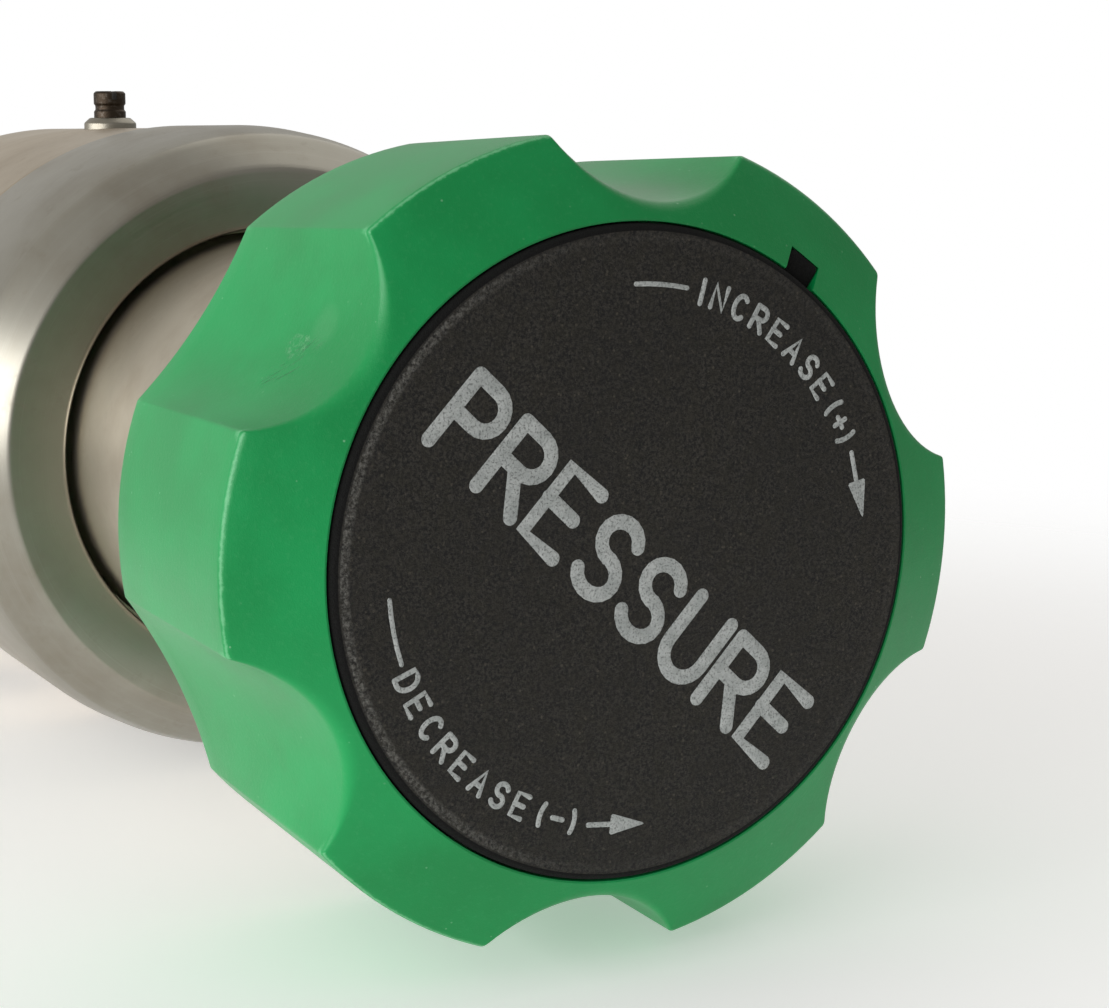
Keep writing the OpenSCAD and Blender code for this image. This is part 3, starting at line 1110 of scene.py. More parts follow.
    def cover_disc(self) -> bpy.types.Object:
        """The dark disc with its rounded edge and the skirt that snaps into the pocket.

        Returns:
            The new object.
        """
        back, front, r = self.cover.back, self.cover.front, self.cover.radius
        seat, skirt = self.ledge + 0.05, self.pocket - 0.3
        edge, gap = 0.5, 0.1
        angles = [math.radians(15 * n) for n in range(7)]
        rim = [(r - edge * (1 - math.cos(a)), front - edge * (1 - math.sin(a))) for a in angles]
        rings = [(r * (1 - k / 9), front) for k in range(1, 9)]
        wide, top = self.opening - gap, self.span.front - self.flange_drop
        profile = [
            (0, seat), (skirt - 1.1, seat), (skirt - 1.1, back), (skirt - 0.3, back),
            (skirt, back + 0.3), (self.pocket + gap, back + 0.8), (skirt, back + 1.2),
            (skirt, seat), (wide - gap, seat), (wide, seat + gap), (wide, top - gap),
            (wide - gap, top), (r, top), *rim, *rings, (0, front),
        ]
        return turned("cover_disc", profile, ease=0, sides=216)

    def cover_key(self) -> bpy.types.Object:
        """The tab of the cover that sits in the pry notch.

        Returns:
            The new object.
        """
        half, top = self.notch_width / 2 - 0.1, self.span.front - self.flange_drop
        inner, outer, corner = self.cover.radius - 1, self.notch_reach - 0.1, 0.2
        tab = [
            (inner, -half), (outer - corner, -half), (outer, corner - half),
            (outer, half - corner), (outer - corner, half), (inner, half),
        ]
        turn = Matrix.Rotation(math.radians(self.notch_angle), 4, "Z")
        key = prism(tab, self.ledge + 0.05, top, turn)
        key.name = "cover_key"
        return key

    def screw(self) -> bpy.types.Object:
        """The socket-head screw that holds the knob on the stem.

        Returns:
            The new object.
        """
        where = Span.of("knob_screw")
        head = where.front - self.screw_head
        profile = [
            (0, where.back), (1.7, where.back), (self.shank, where.back + 0.4),
            (self.shank, head), (where.radius, head), (where.radius, where.front),
            (0, where.front),
        ]
        screw = turned("knob_screw_head", profile, ease=0.25, sides=72)
        return cut(screw, prism(hex_corners(self.socket), where.front - 1.2, where.front + 1))

    def make(self) -> None:
        """Build every piece of this sub-assembly."""
        self.add(self.shell(), self.body, GREEN, "green_plastic", ["knob"])
        self.add(self.cover_disc(), self.body, COVER, "black_plastic", ["knob_cover"])
        self.add(self.cover_key(), self.body, COVER, "black_plastic")
        back, front = self.web
        bush = turned("insert_bush", band(2, self.insert_radius, back, front), 0.15)
        cut(bush, prism(hex_corners(self.hex_radius), back - 1, front + 1))
        self.add(bush, self.body, BRASS, "brass", ["knob_insert"])
        ring = Span.of("knob_washer")
        washer = turned("screw_washer", band(2.7, ring.radius, ring.back, ring.front), 0.15)
        self.add(washer, self.body, FINE_STEEL, "machined_steel", ["knob_washer"])
        self.add(self.screw(), self.body, DARK_STEEL, "dark_steel", ["knob_screw"])


# ---------------------------------------------------------------- printed legend

Stroke = list[tuple[float, float]]
Bead = tuple[list[Vector], list[list[int]]]


def bow(
    cx: float, cy: float, rx: float, ry: float, start: float, end: float, steps: int = 10
) -> Stroke:
    """Part of an ellipse as a stroke.

    Args:
        cx, cy: Its middle.
        rx, ry: Its half width and half height.
        start, end: First and last direction, in degrees.
        steps: Segments.

    Returns:
        The stroke's points.
    """
    angles = [math.radians(start + (end - start) * n / steps) for n in range(steps + 1)]
    return [(cx + rx * math.cos(a), cy + ry * math.sin(a)) for a in angles]


def glyph(letter: str) -> list[Stroke]:
    """Strokes of one plain rounded capital, 0.62 wide and 1 tall.

    Args:
        letter: The letter or sign.

    Returns:
        Its strokes.
    """
    w, h = 0.62, 0.5
    stem: Stroke = [(0, 0), (0, 1)]
    bowl: Stroke = [(0, 1), (0.34, 1), *bow(0.34, 0.74, 0.26, 0.26, 90, -90), (0, 0.48)]
    forms: dict[str, list[Stroke]] = {
        "A": [[(0, 0), (w / 2, 1), (w, 0)], [(0.13, 0.34), (w - 0.13, 0.34)]],
        "C": [bow(w / 2 + 0.02, h, w / 2, h, 48, 312, 16)],
        "D": [[(0, 0), (0, 1), (0.26, 1), *bow(0.24, h, 0.38, h, 78, -78, 12), (0.26, 0), (0, 0)]],
        "E": [[(w - 0.06, 1), (0, 1), (0, 0), (w - 0.06, 0)], [(0, 0.52), (w - 0.16, 0.52)]],
        "I": [[(w / 2, 0), (w / 2, 1)]],
        "N": [[(0, 0), (0, 1), (w, 0), (w, 1)]],
        "P": [stem, bowl],
        "R": [stem, bowl, [(0.26, 0.48), (w, 0)]],
        "S": [
            bow(w / 2, 0.745, 0.27, 0.255, 25, 270, 12) + bow(w / 2, 0.25, 0.29, 0.25, 84, -155, 12)
        ],
        "U": [[(0, 1), (0, 0.32), *bow(w / 2, 0.32, w / 2, 0.32, 180, 360, 12), (w, 1)]],
        "(": [bow(0.62, h, 0.3, 0.66, 135, 225, 8)],
        ")": [bow(0.0, h, 0.3, 0.66, 45, -45, 8)],
        "+": [[(0.06, h), (w - 0.06, h)], [(w / 2, 0.2), (w / 2, 0.8)]],
        "-": [[(0.06, h), (w - 0.06, h)]],
    }
    return forms[letter]


NARROW = {"I": 1.6, "(": 2.4, "+": 1.8, "-": 2.0, ")": 2.2}


@dataclass
class Legend(SubAssembly):
    """Printed words and arrows on the cover."""

    ring_radius: float = 16.6
    letter_height: float = 1.45
    stroke: float = 0.33
    rise: float = 0.03
    half_step: float = 2.83
    word: str = "PRESSURE"
    word_start: tuple[float, float] = (-12.3, 9.9)
    word_end: tuple[float, float] = (11.3, -12.5)
    word_height: float = 4.9
    word_stroke: float = 0.95
    arrow_length: float = 2.3
    arrow_width: float = 1.3
    face: float = field(default_factory=lambda: Span.of("knob_cover").front)

    def capsule(self, path: Stroke, width: float, layer: int = 0) -> Bead:
        """A flat, round-ended bead of ink along a path on the cover.

        Args:
            path: Points on the cover.
            width: Width of the bead.
            layer: Which bead of its letter it is, each a hair higher than the one before.

        Returns:
            Its points and faces.
        """
        rise = self.rise * (1 + 0.08 * layer)
        line = [Vector(p) for p in path]
        spaced = [line[0]]
        for p in line[1:]:
            if (p - spaced[-1]).length > width * 0.12:
                spaced.append(p)
        line = spaced
        half, sides = width / 2, 10
        rings: list[tuple[Vector, Vector, float]] = []
        ends = [(math.sin(a), math.cos(a)) for a in (math.radians(d) for d in (8, 30, 55, 75))]
        first, last = (line[0] - line[1]).normalized(), (line[-1] - line[-2]).normalized()
        rings += [(line[0] + first * half * out, -first, grow) for grow, out in ends]
        for n, p in enumerate(line):
            ahead = (line[min(n + 1, len(line) - 1)] - line[max(n - 1, 0)]).normalized()
            rings.append((p, ahead, 1.0))
        rings += [(line[-1] + last * half * out, last, grow) for grow, out in reversed(ends)]
        points = []
        for middle, ahead, grow in rings:
            side = Vector((-ahead.y, ahead.x))
            for s in range(sides):
                a = math.tau * s / sides
                flat = middle + side * math.cos(a) * half * grow
                points.append(Vector((flat.x, flat.y, self.face + math.sin(a) * rise * grow)))
        return points, capped(len(rings), sides)

    def arrow_head(self, tip: Vector, ahead: Vector) -> Bead:
        """A flat, slightly rounded arrow head.

        Args:
            tip: Its point on the cover.
            ahead: Direction that it points in.

        Returns:
            Its points and faces.
        """
        side = Vector((-ahead.y, ahead.x)) * (self.arrow_width / 2)
        tail = tip - ahead * self.arrow_length
        near, far = tip - ahead * 0.15, tail - ahead * 0.12
        outline = [
            tip, near + side * 0.12, tail + side, far + side * 0.86,
            far - side * 0.86, tail - side, near - side * 0.12,
        ]
        levels = (self.face - self.rise, self.face + self.rise)
        points = [Vector((p.x, p.y, z)) for z in levels for p in outline]
        return points, capped(2, len(outline))

    def around(self, angle: float, out: float = 0.0) -> tuple[float, float]:
        """Place on the ring of letters, at an angle in degrees and a little further out."""
        r = self.ring_radius + out
        return r * math.cos(math.radians(angle)), r * math.sin(math.radians(angle))

    def join(self, name: str, beads: Iterable[Bead]) -> bpy.types.Object:
        """Join beads of ink into one piece.

        Args:
            name: Name of the piece.
            beads: Points and faces of each bead.

        Returns:
            The new object.
        """
        points: list[Vector] = []
        faces: list[list[int]] = []
        for bead_points, bead_faces in beads:
            shift = len(points)
            points += bead_points
            faces += [[n + shift for n in f] for f in bead_faces]
        return solid(name, points, faces, crease=50)

    def ring_word(
        self, name: str, word: str, start: float, sweep: float, lead: float, tip: float
    ) -> bpy.types.Object:
        """A word around the cover with a lead line before it and an arrow after it.

        Args:
            name: Name of the piece.
            word: The letters.
            start: Direction of the first letter, in degrees.
            sweep: 1 for counter-clockwise with the letter tops inward, or -1 for clockwise
                with them outward.
            lead: Direction where the lead line begins.
            tip: Direction of the arrow's point.

        Returns:
            The new object.
        """
        beads = []
        scale = self.letter_height
        place = start
        for n, letter in enumerate(word):
            if n:
                steps = (NARROW.get(sign, self.half_step) for sign in (word[n - 1], letter))
                place += sweep * sum(steps)
            centre = Vector(self.around(place))
            up = centre.normalized() * -sweep
            along = Vector((up.y, -up.x))
            for layer, path in enumerate(glyph(letter)):
                placed = [
                    centre + along * (x - 0.31) * scale + up * (y - 0.5) * scale for x, y in path
                ]
                beads.append(self.capsule([tuple(p) for p in placed], self.stroke, layer))
        lead_end = start - sweep * 3.9
        line = [self.around(lead + (lead_end - lead) * t / 4) for t in range(5)]
        beads.append(self.capsule(line, self.stroke * 0.9))
        tail = Vector(self.around(place + sweep * 3.6, 0.1))
        point = Vector(self.around(tip, 0.2))
        ahead = (point - tail).normalized()
        neck = point - ahead * (self.arrow_length - 0.2)
        beads.append(self.capsule([tuple(tail), tuple(neck)], self.stroke, 1))
        beads.append(self.arrow_head(point, ahead))
        return self.join(name, beads)

    def main_word(self) -> bpy.types.Object:
        """The large word across the cover.

        Returns:
            The new object.
        """
        first, last = Vector(self.word_start), Vector(self.word_end)
        along = (last - first).normalized()
        up = Vector((-along.y, along.x))
        scale = self.word_height
        advance = ((last - first).length - 0.62 * scale) / (len(self.word) - 1)
        beads = []
        for n, letter in enumerate(self.word):
            corner = first + along * advance * n - up * scale / 2
            for layer, path in enumerate(glyph(letter)):
                placed = [corner + along * x * scale + up * y * scale for x, y in path]
                beads.append(self.capsule([tuple(p) for p in placed], self.word_stroke, layer))
        return self.join("legend_word", beads)

    def make(self) -> None:
        """Build every piece of this sub-assembly."""
        increase = self.ring_word("legend_increase", "INCREASE(+)", 74.3, -1, 90.7, 4.1)
        decrease = self.ring_word("legend_decrease", "DECREASE(-)", -158.8, 1, -176.3, -88.1)
        for piece in (increase, decrease, self.main_word()):
            self.add(piece, "hand_knob", INK)


# ---------------------------------------------------------------- stem and housing


def coil(
    name: str,
    mean: float,
    wire: float,
    low: float,
    high: float,
    active: float,
    sides: int = 14,
) -> bpy.types.Object:
    """A compression spring with a closed turn at each end.

    Args:
        name: Name of the piece.
        mean: Radius of the wire's centre line.
        wire: Radius of the wire.
        low: Start along the main axis.
        high: End along the main axis.
        active: Turns between the closed ends.
        sides: Segments around the wire.

    Returns:
        The new object.
    """
    closed = 2 * wire * 1.02
    climb = (high - low - 2 * wire) - 2 * closed
    turns = active + 2
    count = round(turns * 40)
    path = []
    for n in range(count + 1):
        turn = turns * n / count
        rise = min(turn, 1) * closed + max(0.0, min(turn - 1, active)) * climb / active
        rise += max(0.0, turn - 1 - active) * closed
        a = math.tau * turn
        path.append(Vector((mean * math.cos(a), mean * math.sin(a), low + wire + rise)))
    return tube(name, path, wire, sides)


@dataclass
class AdjustingScrew(SubAssembly):
    """The threaded stem with its clip, the brass nut, the spring button and the ball."""

    stem_radius: float = 4.0
    hex_radius: float = 3.3
    hex_from: float = 108.9
    thread: tuple[float, float] = (86.2, 108.6)
    pitch: float = 1.25
    depth: float = 0.6
    tapped: float = 2.1
    button_skirt: float = 6.8
    button_top: float = 6.5
    button_seat: tuple[float, float] = (76.5, 78.7)
    nut_shoulder: float = 90.0
    nut_body: float = 8.95
    clip_ring: tuple[float, float] = (3.45, 6.0)
    clip_gap: float = 2.0
    groove: float = 3.4
    relief: float = 2.4
    sides: int = 60

    def stem(self) -> bpy.types.Object:
        """The stem, with a real thread and a clip groove; the hexagon for the knob is a piece of
        its own.

        Returns:
            The new object.
        """
        where = Span.of("stem")
        low, high = self.thread
        clip = Span.of("stem_retaining_clip")
        r, neck, sides, start = self.stem_radius, self.groove, self.sides, self.hex_from
        per_turn = 10
        before = [
            (where.back, r - 0.3), (where.back + 0.3, r), (clip.back - 0.1, r),
            (clip.back - 0.05, neck), (clip.front + 0.05, neck), (clip.front + 0.1, r),
            (low, r),
        ]
        beyond = [
            (start, r - 0.1), (start, self.relief), (start + 0.5, self.relief),
            (start + 0.5, self.tapped), (where.front - 9, self.tapped),
            (where.front - 9.8, 0.02), (where.back + 1.9, 0.02), (where.back, 2.0),
        ]
        rows = [circle(radius, z, sides) for z, radius in before]
        count = round((high - low) / self.pitch * per_turn)
        for n in range(count + 1):
            z = low + (high - low) * n / count
            fade = min(1.0, (z - low) / self.pitch, (high - z) / self.pitch)
            row = []
            for s in range(sides):
                phase = (z / self.pitch - s / sides) % 1.0
                deep = self.depth * (1 - abs(2 * phase - 1)) * fade
                a = math.tau * s / sides
                row.append(((r - deep) * math.cos(a), (r - deep) * math.sin(a), z))
            rows.append(row)
        rows += [circle(radius, z, sides) for z, radius in beyond]
        return solid("threaded_stem", [p for row in rows for p in row], grid(rows), crease=45)

    def hexagon(self) -> bpy.types.Object:
        """The hexagonal end of the stem that turns with the knob.

        Returns:
            The new object.
        """
        where = Span.of("stem")
        tip = prism(hex_corners(self.hex_radius), self.hex_from - 0.02, where.front)
        tip.name = "stem_hexagon"
        hole = band(0, self.tapped, self.hex_from - 1, where.front + 1)
        return cut(tip, turned("cutter", hole, 0, sides=48))

    def make(self) -> None:
        """Build every piece of this sub-assembly."""
        self.add(self.stem(), "hand_knob", FINE_STEEL, "machined_steel", ["stem"])
        self.add(self.hexagon(), "hand_knob", FINE_STEEL, "machined_steel")
        clip = Span.of("stem_retaining_clip")
        ring = turned("stem_clip", band(*self.clip_ring, clip.back, clip.front), 0.12)
        gap = band(0, 8, -self.clip_gap, self.clip_gap)
        cut(ring, prism(gap, clip.back - 1, clip.front + 1))
        self.add(ring, "hand_knob", WIRE, "spring_steel", ["stem_retaining_clip"])
        nut, bore = Span.of("stem_nut"), self.stem_radius + 0.05
        profile = [
            (bore, nut.back), (nut.radius, nut.back), (nut.radius, self.nut_shoulder),
            (self.nut_body, self.nut_shoulder), (self.nut_body, nut.front),
            (bore + 0.5, nut.front), (bore, nut.front - 0.5),
        ]
        self.add(turned("brass_nut", profile, 0.2), "housing", BRASS, "brass", ["stem_nut"])
        self.add(self.button(), "spring_carrier", FINE_STEEL, "machined_steel",
                 ["upper_spring_button"])
        where = Span.of("thrust_ball")
        profile = ball(where.radius, (where.back + where.front) / 2, 32)
        self.add(turned("ball", profile, 0, sides=64), "spring_carrier", BALL_STEEL,
                 "ball_steel", ["thrust_ball"])

    def button(self) -> bpy.types.Object:
        """The upper spring button, with the cup that the ball sits in.

        Returns:
            The new object.
        """
        where, skirt, top = Span.of("upper_spring_button"), self.button_skirt, self.button_top
        low, high = self.button_seat
        profile = [
            (0, where.back), (skirt - 0.8, where.back), (skirt, where.back + 0.8),
            (skirt, low), (where.radius, low), (where.radius, high), (top, high),
            (top, where.front), (2.45, where.front), (2.3, where.front - 0.5),
            (1.6, 79.08), (0, 78.5),
        ]
        return turned("spring_button", profile, 0.2)


@dataclass
class SpringHousing(SubAssembly):
    """The cap ring, the long neck that it clamps, and the range spring inside."""

    flat_radius: float = 22.66
    hole: float = 18.03
    shoulder: tuple[float, float] = (25.5, 3.3)
    spigot: float = 22.3
    land: float = 55.6
    neck: float = 17.4
    bore: float = 12.2
    nut_bore: float = 9.0
    nut_shoulder: float = 90.0
    inner_rim: float = 14.5
    vent_z: float = 66.0
    vent_radius: float = 1.2
    spring_mean: float = 8.9
    spring_wire: float = 1.3
    travel: float = 6.25

    def ring(self) -> bpy.types.Object:
        """The ring nut: straight side, a soft shoulder and a flat front.

        Returns:
            The new object.
        """
        where = Span.of("cap_ring")
        r, back, front = where.radius, where.back, where.front
        wide, down = self.shoulder
        profile = [
            (self.spigot, back), (r - 0.5, back), (r, back + 0.5), (r, front - 8.5),
            (r - 0.25, front - 5.5), (wide, front - down), (wide - 0.45, front - down + 0.7),
            (self.flat_radius + 0.4, front - 0.3), (self.flat_radius, front),
            (self.hole + 0.3, front), (self.hole, front - 0.3), (self.hole, self.land),
            (self.spigot, self.land),
        ]
        return turned("ring_nut", profile, 0.35, sides=240)

    def neck_piece(self) -> bpy.types.Object:
        """The neck with its flange, its stepped bore and the vent below.

        Returns:
            The new object.
        """
        where = Span.of("body_cap")
        r, back, front = where.radius, where.back, where.front
        profile = [
            (self.bore, back + 1.9), (self.inner_rim, back + 1.9), (self.inner_rim, back),
            (r, back), (r, self.land), (self.neck, self.land), (self.neck, front - 0.8),
            (self.neck - 0.8, front), (self.nut_bore, front),
            (self.nut_bore, self.nut_shoulder), (self.bore, self.nut_shoulder),
        ]
        vent = band(0, self.vent_radius, self.bore - 1, self.neck + 1)
        return cut(
            turned("neck", profile, 0.15, sides=200),
            turned("cutter", vent, 0, radial(270, self.vent_z), 32),
        )

    def make(self) -> None:
        """Build every piece of this sub-assembly."""
        self.add(self.ring(), "housing", RING_STEEL, "ring_steel", ["cap_ring"])
        self.add(self.neck_piece(), "housing", NECK_STEEL, "neck_steel", ["body_cap"])
        low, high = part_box("range_spring")
        foot, top = -high.y / MM, -low.y / MM
        spring = coil("range_coil", self.spring_mean, self.spring_wire, foot, top, 3.6)
        self.add(spring, "housing", WIRE, "spring_steel", ["range_spring"])
        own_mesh(spring)


# ---------------------------------------------------------------- ported body


@dataclass
class PortedBody(SubAssembly):
    """The turned body with its ports, its plugs, the inlet filter and the bleed screw."""

    spigot: float = 22.2
    relief: float = 21.4
    length: float = 38.1
    port_z: float = 19.0
    port: float = 5.55
    spot: float = 7.5
    port_depth: float = 13.0
    gauge_floor: float = 14.0
    gauge_angles: tuple[float, float] = (240.0, 300.0)
    chamber: float = 14.5
    seal_groove: tuple[float, float] = (19.65, 17.95)
    passage: tuple[float, float] = (1.6, 12.6)
    bush_bore: float = 2.5
    mount_spacing: float = 38.1
    mount_radius: float = 2.1
    mount_depth: float = 9.5
    bleed_z: float = 18.4
    thread_pitch: float = 1.41

    def body_piece(self) -> bpy.types.Object:
        """The body with every port, pocket, passage and hole.

        Returns:
            The new object.
        """
        where = Span.of("valve_body")
        r, front = where.radius, where.front
        outer, inner = self.seal_groove
        profile = [
            (0, 0), (r - 1, 0), (r, 1), (r, self.length - 0.5), (r - 0.5, self.length),
            (self.relief, self.length), (self.relief, self.length + 1.6),
            (self.spigot, self.length + 1.6), (self.spigot, front - 0.5),
            (self.spigot - 0.5, front), (outer, front), (outer, front - 0.8),
            (inner, front - 0.8), (inner, front), (self.chamber, front), (self.chamber, 45.5),
            (7.0, 45.5), (7.0, 31.0), (5.0, 31.0), (5.0, 28.0), (4.2, 28.0), (4.2, 14.0),
            (2.6, 14.0), (2.6, 8.0), (0, 8.0),
        ]
        body = turned("body", profile, 0.2, sides=240)
        deep, pocket, small = r - self.port_depth, 4.6, self.passage[0]
        filtered = [(0, 3.2), (small, 3.2), (small, 10), (pocket, 10), (pocket, deep)]
        bush = self.bush_bore
        bleed = [(0, 12.6), (0.9, 12.6), (0.9, 20.5), (bush, 20.5), (bush, r + 1), (0, r + 1)]
        cutters = [
            self.port_cutter(0.0, [(0, deep)]),
            self.port_cutter(180.0, filtered),
            turned("cutter", bleed, 0, radial(90, self.bleed_z), CUTTER_SIDES),
        ]
        cutters += [self.port_cutter(angle, [(0, self.gauge_floor)]) for angle in self.gauge_angles]
        half, wide = self.mount_spacing / 2, self.mount_radius
        for x, radius, low, high in (
            (-half, wide, -1, self.mount_depth),
            (half, wide, -1, self.mount_depth),
            (self.passage[1], small, self.port_z - 2.5, 46),
        ):
            at = Matrix.Translation((x, 0, 0))
            cutters.append(turned("cutter", band(0, radius, low, high), 0, at, CUTTER_SIDES))
        return cut(body, *cutters)

    def port_cutter(self, angle: float, bottom: Profile) -> bpy.types.Object:
        """One port as a single cutter: whatever lies below it, bore, chamfer and spot face.

        Args:
            angle: Direction of the port, in degrees from the right.
            bottom: Profile from the axis to the floor of the bore.

        Returns:
            The cutter.
        """
        outside = Span.of("valve_body").radius
        face, flare = outside - 1.2, 0.55
        profile = [
            *bottom, (self.port, bottom[-1][1]), (self.port, face - flare),
            (self.port + flare, face), (self.spot, face), (self.spot, outside + 2),
            (0, outside + 2),
        ]
        return turned("cutter", profile, 0, radial(angle, self.port_z), CUTTER_SIDES)

    def port_thread(self, name: str, angle: float) -> bpy.types.Object:
        """The internal thread of a port, as a helical ridge on its wall.

        Args:
            name: Name of the piece.
            angle: Direction of the port.

        Returns:
            The new object.
        """
        radius = Span.of("valve_body").radius
        low, high = radius - self.port_depth + 1.2, radius - 2.2
        turns = (high - low) / self.thread_pitch
        count, half, tall = round(turns * 48), self.thread_pitch * 0.34, 0.55
        at = radial(angle, self.port_z)
        points = []
        for n in range(count + 1):
            a = math.tau * turns * n / count
            z = low + (high - low) * n / count
            fade = min(1.0, n / 24, (count - n) / 24)
            foot, crest = self.port + 0.08, self.port - tall * fade
            section = ((foot, -half), (crest, -0.08), (crest, 0.08), (foot, half))
            points += [(r * math.cos(a), r * math.sin(a), z + dz) for r, dz in section]
        return solid(name, points, capped(count + 1, 4), at, crease=25)

    def plug(self, name: str, angle: float) -> bpy.types.Object:
        """A flush gauge-port plug with a hexagonal socket.

        Args:
            name: Name of the piece.
            angle: Direction of its port.

        Returns:
            The new object.
        """
        face = Span.of("valve_body").radius - 1.6
        at = radial(angle, self.port_z)
        r, foot, edge, socket = self.port - 0.05, self.gauge_floor + 0.5, 0.35, 3.6
        profile = [
            (0, foot), (r - 0.5, foot), (r, self.gauge_floor + 1), (r, face - edge),
            (r - edge, face), (0, face),
        ]
        body = turned(name, profile, 0.12, at, 96)
        flare = [(0, face - 0.3), (3.3, face - 0.3), (3.75, face + 0.5), (0, face + 0.5)]
        return cut(
            body,
            prism(hex_corners(socket), face - 6, face + 1, at),
            turned("cutter", flare, 0, at, CUTTER_SIDES),
        )

    def bleed(self) -> None:
        """Build the bleed bush, its screw and the ball below it."""
        at = radial(90, self.bleed_z)
        _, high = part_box("bleed_bush")
        top = high.z / MM
        flare = [(1.55, 22.2), (2.45, 22.2), (2.45, top - 0.5), (1.9, top), (1.55, top)]
        collar = turned("bleed_collar", flare, 0.12, at, 64)
        self.add(collar, "housing", RING_STEEL, "machined_steel", ["bleed_bush"])
        low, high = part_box("bleed_screw")
        foot, tip = low.z / MM, high.z / MM
        r, waist = 1.5, 1.36
        screw = [
            (0, foot), (1.2, foot), (r, foot + 0.3), (r, tip - 1.9), (waist, tip - 1.75),
            (waist, tip - 1.35), (r, tip - 1.2), (r, tip - 0.2), (1.3, tip), (0, tip),
        ]
        body = turned("bleed_screw_stem", screw, 0.08, at, 64)
        cut(body, prism(band(-2, 2, -0.25, 0.25), tip - 0.8, tip + 1, at))
        self.add(body, "bleed_screw", DARK_STEEL, "dark_steel", ["bleed_screw"])
        low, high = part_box("bleed_ball")
        profile = ball((high.z - low.z) / 2 / MM, (low.z + high.z) / 2 / MM, 24)
        seal = turned("bleed_sphere", profile, 0, at, 48)
        self.add(seal, "bleed_seal", BALL_STEEL, "ball_steel", ["bleed_ball"])

    def make(self) -> None:
        """Build every piece of this sub-assembly."""
        self.add(self.body_piece(), "housing", BODY_STEEL, "body_steel", ["valve_body"])
        for name, angle in (("outlet_thread", 0.0), ("inlet_thread", 180.0)):
            self.add(self.port_thread(name, angle), "housing", FINE_STEEL, "body_steel")
        for name, angle in zip(("gauge_plug_left", "gauge_plug_right"), self.gauge_angles):
            plug = self.plug(name, angle)
            self.add(plug, "housing", FINE_STEEL, "machined_steel", ["gauge_port_plugs"])
        inlet = radial(180, self.port_z)
        disc = turned("filter_disc", band(0, 4.5, 10.2, 11.9), 0.15, inlet, 72)
        self.add(disc, "housing", SINTERED, "sintered_steel", ["inlet_filter"])
        ring = turned("filter_ring", band(3.5, 4.55, 12.0, 12.9), 0.12, inlet, 72)
        cut(ring, prism(band(0, 6, -0.6, 0.6), 11, 14, inlet))
        self.add(ring, "housing", WIRE, "spring_steel", ["filter_retaining_ring"])
        self.bleed()


# ---------------------------------------------------------------- inner works


@dataclass
class SensingStack(SubAssembly):
    """The diaphragm between its two plates, and the seal around it."""

    sheet_low: float = 50.0
    sheet_high: float = 50.3
    clamp_radius: float = 10.6
    rim: float = 21.8
    wave: tuple[tuple[float, float], ...] = (
        (10.9, 0.0), (11.6, 0.5), (12.5, 0.8), (13.4, 0.5), (14.1, 0.0)
    )

    def sheet(self) -> None:
        """Build the diaphragm: a rim that stays, and a middle that moves with the plates."""
        low, high = self.sheet_low, self.sheet_high
        lower = [(r, low + z) for r, z in self.wave]
        upper = [(r, high + z) for r, z in reversed(self.wave)]
        outer = turned(
            "diaphragm_rim", [*lower, (self.rim, low), (self.rim, high), *upper], 0.05
        )
        self.add(outer, "housing", SHEET_STEEL, "thin_steel", ["diaphragm"])
        inner = turned("diaphragm_middle", band(0, self.clamp_radius, low, high), 0.05)
        self.add(inner, "diaphragm_plates", SHEET_STEEL, "thin_steel")

    def make(self) -> None:
        """Build every piece of this sub-assembly."""
        self.sheet()
        seal = Span.of("diaphragm_seal")
        ring = turned("rim_seal", band(18.0, seal.radius, seal.back, seal.front), 0.15)
        self.add(ring, "housing", WHITE_POLYMER, "white_ptfe", ["diaphragm_seal"])
        stop = Span.of("stop_plate")
        step = stop.back + 1.1
        plate = [
            (0, stop.back), (3, stop.back), (3, step), (stop.radius, step),
            (stop.radius, stop.front), (0, stop.front),
        ]
        lower = Span.of("diaphragm_plate")
        floor, boss = lower.back + 2.45, 6.8
        cup = [
            (0, lower.back), (lower.radius, lower.back), (lower.radius, floor), (boss, floor),
            (boss, lower.front - 0.6), (boss - 0.6, lower.front), (0, lower.front),
        ]
        for name, profile, node in (
            ("stop_disc", plate, "stop_plate"), ("lower_spring_plate", cup, "diaphragm_plate")
        ):
            piece = turned(name, profile, 0.2)
            self.add(piece, "diaphragm_plates", FINE_STEEL, "machined_steel", [node])


